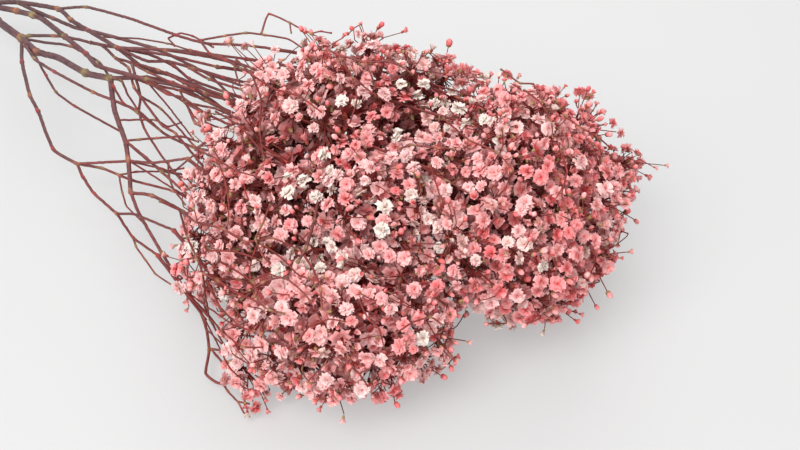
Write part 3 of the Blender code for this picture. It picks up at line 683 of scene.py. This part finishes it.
def mesh_piece(name, chunks, material):
    """One object of many small forms, each given as points, quads, triangles and colours."""
    points, quads, triangles, tints, count = [], [], [], [], 0
    for form in chunks:
        points.append(form[0])
        quads.append(form[1] + count)
        triangles.append(form[2] + count)
        tints.append(form[3])
        count += len(form[0])
    points = (np.concatenate(points) - (*PLAN_CENTRE, 0)) * MM
    points[:, 2] = np.maximum(points[:, 2], LOWEST)
    quads, triangles = np.concatenate(quads), np.concatenate(triangles)
    mesh = bpy.data.meshes.new(name)
    mesh.vertices.add(count)
    mesh.vertices.foreach_set("co", points.ravel())
    mesh.loops.add(quads.size + triangles.size)
    mesh.loops.foreach_set("vertex_index", np.concatenate([quads.ravel(), triangles.ravel()]))
    mesh.polygons.add(len(quads) + len(triangles))
    starts = np.concatenate([np.arange(len(quads)) * 4, quads.size + np.arange(len(triangles)) * 3])
    mesh.polygons.foreach_set("loop_start", starts)
    mesh.polygons.foreach_set("use_smooth", np.ones(len(starts), bool))
    mesh.update(calc_edges=True)
    tint = mesh.attributes.new("tint", "FLOAT_COLOR", "POINT")
    tint.data.foreach_set("color", np.column_stack([np.concatenate(tints), np.ones(count)]).ravel())
    mesh.materials.append(material)
    piece = new_object(name, mesh)
    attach(piece, "root")
    return piece


def smooth_path(points, step):
    """A smooth path through the points, and the distance along it of each of them."""
    tension = 0.5
    points = np.array(points, float)
    ahead = np.vstack([points[1:], 2 * points[-1] - points[-2]])
    back = np.vstack([2 * points[0] - points[1], points[:-1]])
    slopes = (ahead - back) / 2 * tension
    path, marks, length = [points[0]], [0.0], 0.0
    for a, b, u, v in zip(points, points[1:], slopes, slopes[1:]):
        count = max(2, int(np.linalg.norm(b - a) / step) + 1)
        for t in np.linspace(0, 1, count + 1)[1:]:
            place = ((2 * t**3 - 3 * t**2 + 1) * a + (t**3 - 2 * t**2 + t) * u
                     + (3 * t**2 - 2 * t**3) * b + (t**3 - t**2) * v)
            length += np.linalg.norm(place - path[-1])
            path.append(place)
        marks.append(length)
    return np.array(path), np.array(marks)


def aside(axis, steep):
    """A direction that isn't the axis's: up, or along x where the axis is steep."""
    return (0.0, 0.0, 1.0) if abs(axis[2]) < steep else (1.0, 0.0, 0.0)


def ring_quads(sides, rings):
    """Quads between rings of points."""
    index = np.arange(sides)
    after = np.roll(index, -1)
    quads = np.column_stack([index, after, after + sides, index + sides])
    return np.concatenate([quads + row * sides for row in range(rings - 1)])


def tube(path, radii, sides, tints):
    """A closed tube along a path: points, quads, triangles and colours."""
    bulge = 0.4
    heading = np.gradient(path, axis=0)
    heading /= np.maximum(np.linalg.norm(heading, axis=1), TINY)[:, None]
    side = np.cross(heading[0], aside(heading[0], steep=0.9))
    rings = []
    for place, way, radius in zip(path, heading, radii):
        side = unit(side - way * (side @ way))
        other = np.cross(way, side)
        turns = np.arange(sides) * math.tau / sides
        rings.append(place + radius * (np.outer(np.cos(turns), side) + np.outer(np.sin(turns), other)))
    caps = [path[:1] - heading[:1] * radii[0] * bulge, path[-1:] + heading[-1:] * radii[-1] * bulge]
    points = np.concatenate(rings + caps)
    index = np.arange(sides)
    after = np.roll(index, -1)
    last = (len(path) - 1) * sides
    bottom = np.column_stack([after, index, np.full(sides, len(points) - 2)])
    top = np.column_stack([index + last, after + last, np.full(sides, len(points) - 1)])
    colours = np.vstack([np.repeat(tints, sides, axis=0), tints[:1], tints[-1:]])
    return points, ring_quads(sides, len(path)), np.concatenate([bottom, top]), colours


def woody_branch(thickness, stops, rng, step, sides, thin=BARK_THIN, cut=False):
    """A branch that is swollen at its joints, and its colour from bark to joint."""
    wander, shades, thick_from, thick_by, shortest = 0.05, (0.85, 1.15), 0.8, 2.2, 3
    thick_knots, heights, stains = 2.4, (0.5, 1), (0.5, 0.95)
    path, marks = smooth_path(stops, step)
    if len(path) > shortest:
        bends = rng.normal(0, wander, path.shape)
        bends[[0, -1]] = 0
        path = path + bends
    along = np.concatenate([[0], np.cumsum(np.linalg.norm(np.diff(path, axis=0), axis=1))])
    radii = (thickness[0] + (thickness[1] - thickness[0]) * (along / along[-1])) / 2
    thick = np.clip((radii * 2 - thick_from) / thick_by, 0, 1)[:, None]
    red = np.interp(path[:, :1], GREY_ENDS, GREY_REDS)
    tints = mix(mix(linear(BARK_GREY), linear(thin), red), linear(BARK_THICK), thick) * rng.uniform(*shades)
    knots = np.zeros(len(path))
    shares = KNOTS_THICK if thickness[0] > thick_knots else KNOTS_THIN
    for k, mark in enumerate(marks):
        if (k == 0 and cut) or (0 < k < len(marks) - 1 and rng.random() < PLAIN_JOINTS):
            continue
        swollen = np.exp(-((along - mark) / (JOINT_REACH[0] + JOINT_REACH[1] * radii)) ** 2)
        knots = np.maximum(knots, swollen * rng.uniform(*heights))
        knot = linear(KNOTS[rng.choice(len(KNOTS), p=shares)])
        stained = np.exp(-((along - mark) / (STAIN_REACH[0] + STAIN_REACH[1] * radii)) ** 2)
        tints = mix(tints, knot, (rng.uniform(*stains) * stained)[:, None])
    if cut:
        tints[0] = linear(CUT_WOOD)
    return tube(path, radii * (1 + JOINT_SWELL * knots), sides, tints)


def stem_branch(branch, rng):
    """A branch of the solids' stem in its bark. The first is cut off at its start."""
    thickness = np.array(branch[:2])
    thick_sides, thin_sides = 14, 9
    sides = thick_sides if branch[0] > SLIMMER[0][-1] else thin_sides
    slim = thickness * np.interp(thickness, *SLIMMER)
    return woody_branch(slim, branch_points(branch), rng, step=1.5, sides=sides, cut=branch is BRANCHES[0])


def petal(rng, length, width, lean, curl):
    """A crumpled petal with a notched tip, which leans out from the z axis towards +x."""
    grid, foot, cup, notch, ragged, crumpled = 3, (0.05, -0.25), 0.15, 0.05, 0.06, 0.05
    outline = ((0, 0.35, 0.7, 1), (0.3, 0.8, 1, 0.92))
    along, across = np.linspace(0, 1, grid), np.linspace(-1, 1, grid)
    angle = lean + curl * along
    middle = (angle[1:] + angle[:-1]) / 2
    run = length / (grid - 1)
    out = foot[0] + np.concatenate([[0], np.cumsum(np.sin(middle) * run)])
    high = foot[1] + np.concatenate([[0], np.cumsum(np.cos(middle) * run)])
    half = width * np.interp(along, *outline)
    bend = cup * width * across[None, :] ** 2
    points = np.zeros((grid, grid, 3))
    points[..., 0] = out[:, None] - np.cos(angle)[:, None] * bend
    points[..., 1] = half[:, None] * across[None, :]
    points[..., 2] = high[:, None] + np.sin(angle)[:, None] * bend
    tip = length * (rng.normal(0, ragged, grid) - notch * (1 - abs(across)))
    points[-1, :, 0] += np.sin(angle[-1]) * tip
    points[-1, :, 2] += np.cos(angle[-1]) * tip
    points[1:] += rng.normal(0, crumpled, points[1:].shape)
    index = np.arange(grid * grid).reshape(grid, grid)
    quads = np.stack([index[:-1, :-1], index[:-1, 1:], index[1:, 1:], index[1:, :-1]], axis=-1).reshape(-1, 4)
    return points.reshape(-1, 3), quads, np.repeat(along, grid)


def turn_about_z(points, angle):
    """The points, turned about the z axis."""
    c, s = math.cos(angle), math.sin(angle)
    return points @ np.array([[c, s, 0], [-s, c, 0], [0, 0, 1]])


def petal_ball(rng, count, widest, width, curl):
    """Petals round the z axis that lean out further and further, up to the widest angle."""
    sway, turn, lengths, leans, uneven = 0.10, 0.2, (0.82, 1.14), (0.3, 0.5), (0.8, 1.2)
    points, quads, light = [], [], []
    for k in range(count):
        away = widest * math.sqrt((k + 0.5) / count) + rng.normal(0, sway)
        form = petal(rng, rng.uniform(*lengths), width * rng.uniform(*uneven),
                     away - curl * rng.uniform(*leans), curl * rng.uniform(*uneven))
        points.append(turn_about_z(form[0], k * GOLDEN_ANGLE + rng.normal(0, turn)))
        quads.append(form[1] + k * len(form[0]))
        light.append(form[2])
    return np.concatenate(points), np.concatenate(quads), np.concatenate(light)


def calyx(rng, wide, low, high, toothed):
    """The cup under a floret, with three teeth."""
    sides, foot, belly, teeth, crumpled = 6, 0.10, (0.85, 0.35), (-0.4, 1), 0.01
    points = []
    for radius, height, tooth in [(foot, low, 0), (wide * belly[0], low + (high - low) * belly[1], 0),
                                  (wide, high, toothed)]:
        for s in range(sides):
            angle = math.tau * s / sides
            points.append((math.cos(angle) * radius, math.sin(angle) * radius, height + tooth * teeth[s % 2]))
    return np.array(points) + rng.normal(0, crumpled, (len(points), 3)), ring_quads(sides, 3)


def with_calyx(flower, cup):
    """A floret form: points, quads, how light each point is painted, from a shaded foot to a pale rim, and
    which points are the calyx's.
    """
    points, quads, light = flower
    return {
        "points": np.vstack([points, cup[0]]),
        "quads": np.vstack([quads, cup[1] + len(points)]),
        "light": np.concatenate([light, np.zeros(len(cup[0]))]),
        "green": np.concatenate([np.zeros(len(points)), np.ones(len(cup[0]))]),
    }


def double_floret(rng, petals, opening, width, curl, cup):
    """A double floret: a ragged ball or cone of small petals that hide its middle."""
    return with_calyx(petal_ball(rng, petals, rng.uniform(*opening), width, curl), calyx(rng, *cup))


def closed_bud(rng):
    """A round bud, ridged by its folded petals."""
    sides, rows, start, twisted = 8, 6, 0.35, 0.5
    wide, core, high, lift, ridges, crumpled = 0.62, 0.03, 0.80, 0.12, (-0.06, 0.10), 0.02
    points, light = [], []
    for t in np.linspace(0, 1, rows):
        angle = start + t * (math.pi - start)
        for s in range(sides):
            twist = math.tau * s / sides + twisted * t
            radius = wide * math.sin(angle) * (1 + ridges[s % 2] * math.sin(math.pi * t)) + core
            height = lift * t - high * math.cos(angle)
            points.append((math.cos(twist) * radius, math.sin(twist) * radius, height))
            # Painted shade: the bud's foot is painted darker, and its tip paler
            light.append(t)
    points = np.array(points) + rng.normal(0, crumpled, (len(points), 3))
    return with_calyx((points, ring_quads(sides, rows), np.array(light)), calyx(rng, *BUD_CALYX))


def make_forms(rng):
    """The different florets and buds of each kind, used again and again."""
    opened, half_opened, buds, plain = FORM_COUNTS
    return [
        [double_floret(rng, *OPEN_FLORET) for _ in range(opened)],
        [double_floret(rng, *HALF_OPEN_FLORET) for _ in range(half_opened)],
        [closed_bud(rng) for _ in range(buds)],
        [double_floret(rng, *PLAIN_FLORET) for _ in range(plain)],
    ]


def pick(forms, kind, rng):
    """One of the forms of a kind."""
    return forms[kind][rng.integers(len(forms[kind]))]


def turn_to(axis, spin):
    """Turn that brings +z to an axis, after a spin about z."""
    axis = unit(axis)
    side = unit(np.cross(aside(axis, steep=0.95), axis))
    other = np.cross(axis, side)
    c, s = math.cos(spin), math.sin(spin)
    return np.column_stack([side * c + other * s, other * c - side * s, axis])


def paleness(place):
    """How near a place is to the middle of a pale spot: 1 in it, and less than 0 outside."""
    return max(1 - np.linalg.norm(place - np.array(spot[:3])) / spot[3] for spot in PALE_SPOTS)


def in_pocket(points):
    """Whether each point lies in a dark pocket."""
    return np.any([np.linalg.norm(points - np.array(spot[:3]), axis=-1) < spot[3] for spot in POCKETS], axis=0)


def floret_colour(place, rng):
    """Dye colour of one floret: mostly pinks, and cream where the dye has hardly taken."""
    creams, middle_dye, most_blended = (0.94, 1.0), 0.5, 0.5
    pale = CREAM_SHARE + PALE_SHARE * max(0.0, paleness(place))
    if rng.random() < pale and depth_at(place) > CREAM_DEPTH:
        return linear(CREAM) * rng.uniform(*creams)
    dye = np.clip(middle_dye + place[:2] @ np.array(DYE_GROWS), 0, 1)
    a, b = rng.choice(len(PINKS), 2, p=mix(LEAST_DYE, MOST_DYE, dye))
    return mix(linear(PINKS[a]), linear(PINKS[b]), rng.random() * most_blended)


def bud_colour(rng):
    """Buds have taken more dye than open florets."""
    return mix(linear(PINKS[1]), linear(PINKS[-1]), rng.random())


def dress_floret(form, place, axis, size, colour, rng):
    """A floret form in place, with its colours. Deep in the head they are darker and browner, as painted shade.
    """
    stretches, shades = (0.9, 1.1), (0.93, 1.07)
    # Painted shade: florets deep in the head, where shade falls among the others, are darkened and browned
    colour = mix(colour * PAINTED_DEPTH_SHADE, colour, np.interp(depth_at(place), SHADED_DEPTHS, (0, 1)))
    stretch = size * rng.uniform(*stretches, 3)
    points = (form["points"] * stretch) @ turn_to(axis, rng.random() * math.tau).T + place
    # Painted shade: each petal is darker towards its foot, along with deeper dye there, and paler at its rim
    light = form["light"][:, None]
    rim = mix(colour, linear(PETAL_RIM), RIM_SHARE)
    petals = np.where(light < 0.5, mix(colour * FOOT_DYE_AND_SHADE, colour, light * 2), mix(colour, rim, light * 2 - 1))
    petals = petals * rng.uniform(*shades, (len(points), 1))
    cup = linear(CALYX_RED if rng.random() < CALYX_REDS else CALYX_OLIVE)
    tints = mix(petals, cup, form["green"][:, None])
    return points, form["quads"], np.zeros((0, 3), int), np.clip(tints, 0, 1)


def thin_stalk(start, end, radii, rng):
    """A hair-thin stalk with a slight bend."""
    bent = 0.07
    bend = rng.normal(0, bent, 3) * np.linalg.norm(end - start)
    path = np.array([start, (start + end) / 2 + bend, end])
    return tube(path, np.linspace(*radii, 3), sides=3, tints=np.tile(linear(TWIG_RED), (3, 1)))


def add_floret(parts, form, place, facing, radius, colour, rng, root=None, seat=1.0, radii=None):
    """Adds a floret to a spray's parts, and its stalk if it has one: root, end behind the middle and radii."""
    florets, twigs = parts
    florets.append(dress_floret(form, place, facing, radius, colour, rng))
    if root is not None:
        twigs.append(thin_stalk(root, place - facing * radius * seat, radii, rng))


def stem_side(points):
    """How far points of the head lie on the side of the stem, from 0 to 1."""
    slope, start = 1.6, 0.6
    return np.clip(facing_stem(points) * slope - start, 0, 1)


def cluster(centre, axis, size, count, rng):
    """Middles and directions of the florets of one flower cluster, on a thick dome."""
    candidates, thickness, height, fall, spread, sway, choice = 240, 4.2, 2.0, 4.4, 1.15, 0.75, (0.8, 1)
    turn = turn_to(axis, rng.random() * math.tau)
    options = rng.random((candidates, 3))
    reach = np.sqrt(options[:, 0]) * size
    angle = options[:, 1] * math.tau
    dome = (options[:, 2] - 0.5) * thickness + height - fall * (reach / size) ** 2
    local = np.column_stack([reach * np.cos(angle), reach * np.sin(angle), dome])
    chosen = [rng.integers(len(local))]
    gap = np.linalg.norm(local - local[chosen[0]], axis=1)
    while len(chosen) < count:
        chosen.append(int(np.argmax(gap * rng.uniform(*choice, len(gap)))))
        gap = np.minimum(gap, np.linalg.norm(local - local[chosen[-1]], axis=1))
    local = local[chosen]
    facing = local * (1, 1, 0) / size * spread + (0, 0, 1.0) + rng.normal(0, sway, local.shape)
    return centre + local @ turn.T, facing @ turn.T


def dress_cluster(parts, hub, centre, axis, size, forms, rng):
    """Adds a flower cluster: groups of florets, each on its own stalk. Gives the florets' middles."""
    fewest, power, spread, widened, fork_share, shade_shares = 4, 1.6, 0.7, 1.04, 0.42, (0.2, 0.8)
    shade = floret_colour(centre, rng)
    full = FLORETS_A_CLUSTER * (1 - STEM_SIDE_LOSS * stem_side(centre))
    count = int(round(full * (size / FLORET_RADIUS) ** power + rng.normal(0, spread)))
    places, facings = cluster(centre, axis, size * widened, max(fewest, count), rng)
    turn = turn_to(axis, 0)
    turns = np.arctan2((places - centre) @ turn[:, 1], (places - centre) @ turn[:, 0])
    groups = (np.floor((turns + math.pi) / math.tau * GROUPS).astype(int)) % GROUPS
    middles = []
    for group in range(GROUPS):
        members = np.flatnonzero(groups == group)
        if not len(members):
            continue
        fork = hub + (places[members].mean(axis=0) - hub) * fork_share
        parts[1].append(thin_stalk(hub, fork, radii=(0.30, 0.26), rng=rng))
        for place, facing in zip(places[members], facings[members]):
            kind = rng.choice([OPEN, HALF_OPEN, BUD], p=KIND_SHARES)
            radius = rng.uniform(*CLUSTER_RADII) * KIND_SIZES[kind]
            facing = unit(facing)
            if in_pocket(place):
                continue
            hidden = depth_at(place) < PLAIN_DEPTH or (place[2] < PLAIN_HEIGHT and facing[2] < 0)
            if kind == OPEN and hidden:
                kind = PLAIN
            form = pick(forms, kind, rng)
            if kind == BUD:
                colour = bud_colour(rng)
            else:
                colour = mix(shade, floret_colour(place, rng), rng.uniform(*shade_shares))
            add_floret(parts, form, place, facing, radius, colour, rng, fork, seat=0.85, radii=(0.24, 0.19))
            middles.append(place)
    return middles


def add_loose_twig(parts, hub, centre, axis, forms, rng):
    """Adds a twig that arches out of a cluster to a bud, where that lies near the head's surface."""
    reach, rise, arch, depths, lowest = (8, 16), (0, 4.5), (4.0, 7.5), (0.80, 1.12), 3
    middle, lift, seat = 0.45, 3, 0.8
    side = unit(np.cross(axis, rng.normal(0, 1, 3)))
    tip = centre + side * rng.uniform(*reach) + axis * rng.uniform(*rise)
    if not depths[0] < depth_at(tip) < depths[1] or tip[2] < lowest:
        return
    bend = hub + (tip - hub) * middle + axis * rng.uniform(*arch)
    parts[1].append(woody_branch((0.58, 0.42), [hub, bend, tip], rng, step=3.0, sides=3, thin=TWIG_RED))
    kind = rng.choice([HALF_OPEN, BUD])
    radius = rng.uniform(*SMALL_RADII)
    facing = unit(tip - bend + axis * lift)
    form = pick(forms, kind, rng)
    add_floret(parts, form, tip + facing * radius * seat, facing, radius, bud_colour(rng), rng)


def add_loose_bud(parts, hub, centre, axis, size, forms, rng):
    """Adds a small bud that stands out of its cluster on a long stalk."""
    lean, reach, shares, deepest, lowest = 0.8, (0.85, 1.25), (0.35, 0.65), 1.22, 1.5
    facing = unit(axis + unit(rng.normal(0, 1, 3)) * lean)
    place = centre + facing * rng.uniform(*reach) * size
    kind = rng.choice([HALF_OPEN, BUD], p=shares)
    radius = rng.uniform(*SMALL_RADII)
    if depth_at(place) > deepest or place[2] < lowest:
        return
    form = pick(forms, kind, rng)
    add_floret(parts, form, place, facing, radius, bud_colour(rng), rng, hub, seat=0.9, radii=(0.24, 0.17))


def dress_spray(plan, forms, rng):
    """Florets and twigs of one spray, and the middles of the clusters' florets."""
    lift, fall, bent, buds = 1.0, 4.0, 0.05, (1, 4)
    parts = ([], [woody_branch((1.5, 0.9), plan["path"], rng, step=3.0, sides=7, thin=TWIG_RED)])
    middles = []
    for k, (root, _, axis) in plan["stalks"].items():
        centre, size = plan["centres"][k], plan["radii"][k]
        if plan["rests"][k]:
            centre = centre + (0, 0, lift)
            axis = unit(np.array([centre[0] - FACING_POINT[0], centre[1] - FACING_POINT[1], -fall]))
        hub = centre - axis * HUB_DEPTH
        bend = (root + hub) / 2 + rng.normal(0, bent, 3) * np.linalg.norm(hub - root)
        parts[1].append(woody_branch((0.85, 0.6), [root, bend, hub], rng, step=3.0, sides=5, thin=TWIG_RED))
        middles += dress_cluster(parts, hub, centre, axis, size, forms, rng)
        for _ in range(LOOSE_TWIGS):
            add_loose_twig(parts, hub, centre, axis, forms, rng)
        for _ in range(rng.integers(*buds)):
            add_loose_bud(parts, hub, centre, axis, size, forms, rng)
    return parts, middles


def nearest_neck(necks, place):
    """The stalk's end that is nearest to a place, and the spray that it belongs to."""
    return min(necks, key=lambda item: np.linalg.norm(item[1] - place))


def dress_edge(extras, necks, forms, rng):
    """Adds the florets and buds that stand out from the head's edge. Some are half open instead."""
    sway, shares, open_radii, other_radii = 2.0, (0.6, 0.4), (1.9, 2.9), (1.3, 1.9)
    for place, kind in [(place, BUD) for place in EDGE_BUDS] + [(place, OPEN) for place in EDGE_FLORETS]:
        place = np.array(place, float)
        index, neck = nearest_neck(necks, place)
        facing = unit(place - neck + rng.normal(0, sway, 3))
        kind = rng.choice([kind, HALF_OPEN], p=shares)
        form = pick(forms, kind, rng)
        radius = rng.uniform(*(open_radii if kind == OPEN else other_radii))
        colour = bud_colour(rng) if kind == BUD else floret_colour(place, rng)
        add_floret(extras[index], form, place, facing, radius, colour, rng, neck, seat=0.9, radii=(0.28, 0.20))


def filling(taken, rng):
    """Places for the florets that close up the head between the clusters, and how deep each lies."""
    low, high = np.array(SEARCH_LOW, float), np.array(SEARCH_HIGH, float)
    low[2] = FILL_LOWEST
    places, depths = [], []
    for inner, outer, spacing in FILL_LAYERS:
        points = low + rng.random((FILL_CANDIDATES, 3)) * (high - low)
        depth = lobe_depth(points)
        hollow = np.mean([np.sin(points @ np.array(way) + start) for way, start in HOLLOWS], axis=0)
        filled = (depth < HOLLOW_DEPTH) | (hollow > HOLLOW_LEVEL)
        chosen = (depth > inner) & (depth <= outer) & filled & ~in_pocket(points)
        points, depth = points[chosen], depth[chosen]
        room = spacing * (1 + STEM_SIDE_SPACING * stem_side(points) * (inner > OUTER_LAYER))
        chosen = fill_gaps(points, room, np.full(len(points), FAR), taken + places)
        places += list(points[chosen])
        depths += list(depth[chosen])
    return places, depths


def dress_filling(extras, necks, taken, forms, rng):
    """Adds the florets between the clusters. Those near the surface are open or half open."""
    pull, sway, least_depth, least_height, open_share = 0.5, 0.25, 0.88, 12, 0.85
    for place, depth in zip(*filling(taken, rng)):
        index, neck = nearest_neck(necks, place)
        outward = unit(place - np.array(FACING_POINT))
        facing = unit(outward + pull * unit(place - neck) + rng.normal(0, sway, 3))
        kind = PLAIN
        if depth > least_depth and place[2] > least_height:
            kind = OPEN if rng.random() < open_share else HALF_OPEN
        form = pick(forms, kind, rng)
        radius = rng.uniform(*next(radii for limit, radii in FILL_RADII if depth > limit))
        colour = floret_colour(place, rng)
        add_floret(extras[index], form, place, facing, radius, colour, rng, neck, seat=0.8, radii=(0.26, 0.19))


def shader_node(tree, kind, **inputs):
    """A new shader node, whose inputs get values or other nodes' outputs."""
    made = tree.nodes.new("ShaderNode" + kind)
    for name, value in inputs.items():
        if isinstance(value, bpy.types.NodeSocket):
            tree.links.new(value, made.inputs[name])
        else:
            made.inputs[name].default_value = value
    return made


def noise(tree, scale, detail, stretch=None):
    """A noise pattern across the object."""
    where = shader_node(tree, "TexCoord").outputs["Object"]
    if stretch:
        where = shader_node(tree, "Mapping", Vector=where, Scale=stretch).outputs["Vector"]
    return shader_node(tree, "TexNoise", Vector=where, Scale=scale, Detail=detail).outputs["Fac"]


def shade_tints(tree, shader, pattern, shades):
    """Colours a shader in the tints of its points, shaded by a pattern: its places and their shades."""
    tint = shader_node(tree, "Attribute")
    tint.attribute_name = "tint"
    ramp = shader_node(tree, "ValToRGB", Fac=pattern)
    for element, (position, shade) in zip(ramp.color_ramp.elements, shades):
        element.position = position
        element.color = (*shade, 1)
    blend = shader_node(tree, "Mix")
    blend.data_type = "RGBA"
    blend.blend_type = "MULTIPLY"
    blend.inputs["Factor"].default_value = 1.0
    tree.links.new(tint.outputs["Color"], blend.inputs["A"])
    tree.links.new(ramp.outputs["Color"], blend.inputs["B"])
    tree.links.new(blend.outputs["Result"], shader.inputs["Base Color"])


def raise_bumps(tree, shader, pattern, strength, distance):
    """Raises a shader's surface by a pattern. The distance is in metres."""
    bump = shader_node(tree, "Bump", Strength=strength, Distance=distance, Height=pattern)
    tree.links.new(bump.outputs["Normal"], shader.inputs["Normal"])


def petal_material():
    """Dry, dyed petals: the dye's blotches, fine wrinkles and a soft matt surface."""
    material, shader = new_material("petals")
    tree = material.node_tree
    blotches = noise(tree, scale=900, detail=3)
    shade_tints(tree, shader, blotches, [(0.30, (0.80, 0.66, 0.67)), (0.62, (1.0, 1.0, 1.0))])
    raise_bumps(tree, shader, noise(tree, scale=2600, detail=2), strength=0.35, distance=0.0002)
    shader.inputs["Roughness"].default_value = 0.7
    shader.inputs["Specular IOR Level"].default_value = 0.3
    return material


def bark_material():
    """Dyed bark: fine streaks along the stem, darker pits and a dull gloss."""
    material, shader = new_material("bark")
    tree = material.node_tree
    streaks = noise(tree, scale=1.0, detail=5, stretch=(260, 900, 900))
    shade_tints(tree, shader, streaks, [(0.32, (0.55, 0.50, 0.50)), (0.68, (1.15, 1.1, 1.08))])
    raise_bumps(tree, shader, streaks, strength=0.5, distance=0.0003)
    shader.inputs["Roughness"].default_value = 0.55
    return material


def make_floor():
    """The white surface that the stem lies on, which glows a little."""
    reach = 4
    mesh = bpy.data.meshes.new("floor")
    corners = [(-reach, -reach, 0), (reach, -reach, 0), (reach, reach, 0), (-reach, reach, 0)]
    mesh.from_pydata(corners, [], [(0, 1, 2, 3)])
    floor = new_object("floor", mesh)
    material, shader = new_material("floor")
    shader.inputs["Base Color"].default_value = (*linear(FLOOR_COLOUR), 1)
    shader.inputs["Roughness"].default_value = 0.6
    shader.inputs["Emission Color"].default_value = (1, 1, 1, 1)
    shader.inputs["Emission Strength"].default_value = 0.375
    mesh.materials.append(material)


def aim_at(way):
    """Turn that points an object's -z along a direction, with its y up."""
    way = unit(np.array(way, float))
    return (math.acos(-way[2]), 0, math.atan2(-way[0], way[1]))


def add_light(name, place, size, power):
    """A square light that looks at the head, in metres and watts."""
    middle = (0.13, 0, 0.03)
    light = bpy.data.lights.new(name, "AREA")
    light.size = size
    light.energy = power
    lamp = new_object(name, light)
    lamp.location = place
    lamp.rotation_euler = aim_at(np.array(middle) - place)


def light_scene(scene):
    """A bright studio, with most light from above the camera."""
    scene.view_settings.view_transform = "Standard"
    scene.world = bpy.data.worlds.new("studio")
    scene.world.use_nodes = True
    background = scene.world.node_tree.nodes["Background"]
    background.inputs["Color"].default_value = (1.0, 1.0, 1.0, 1)
    background.inputs["Strength"].default_value = 0.46
    add_light("key", (0.35, -0.88, 1.03), size=1.0, power=20.5)
    add_light("top", (0.16, 0.10, 1.40), size=1.4, power=4)
    add_light("back", (-0.45, 0.85, 0.75), size=0.9, power=5)


def add_camera(scene):
    """The photo's camera."""
    camera = bpy.data.cameras.new("camera")
    camera.lens = 60
    camera.clip_start = 0.01
    eye = new_object("camera", camera)
    target = (np.array(VIEW_POINT) - (*PLAN_CENTRE, 0)) * MM
    flat = math.cos(VIEW_ELEVATION) * VIEW_DISTANCE
    rise = math.sin(VIEW_ELEVATION) * VIEW_DISTANCE
    eye.location = target + (flat * math.sin(VIEW_TURN), -flat * math.cos(VIEW_TURN), rise)
    eye.rotation_euler = aim_at(target - np.array(eye.location))
    scene.camera = eye


def main():
    """Dresses the stem and the sprays, and sets the stage."""
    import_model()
    rng = np.random.default_rng(SEED)
    petals, bark = petal_material(), bark_material()
    forms = make_forms(rng)
    stem = [stem_branch(branch, rng) for branch in BRANCHES]
    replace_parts(mesh_piece("stem_bark", stem, bark), "stem")
    twigs = [woody_branch(twig[:2], branch_points(twig), rng, step=2.0, sides=6, thin=colour)
             for colour, routes in ((BARK_THIN, TWIGS), (TWIG_RED, OVER_TWIGS)) for twig in routes]
    mesh_piece("stem_twigs", twigs, bark)
    plans = plan_sprays()
    necks = [(index, stalk[1]) for index, plan in enumerate(plans) for stalk in plan["stalks"].values()]
    extras = [([], []) for _ in plans]
    dress_edge(extras, necks, forms, rng)
    dressed = [dress_spray(plan, forms, np.random.default_rng([SEED, index]))
               for index, plan in enumerate(plans)]
    dress_filling(extras, necks, [place for _, middles in dressed for place in middles], forms, rng)
    for index, ((florets, stalks), _) in enumerate(dressed):
        name = f"spray_{index + 1:02d}"
        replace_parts(mesh_piece(name + "_florets", florets + extras[index][0], petals), name)
        mesh_piece(name + "_twigs", stalks + extras[index][1], bark)
    make_floor()
    light_scene(bpy.context.scene)
    add_camera(bpy.context.scene)


main()
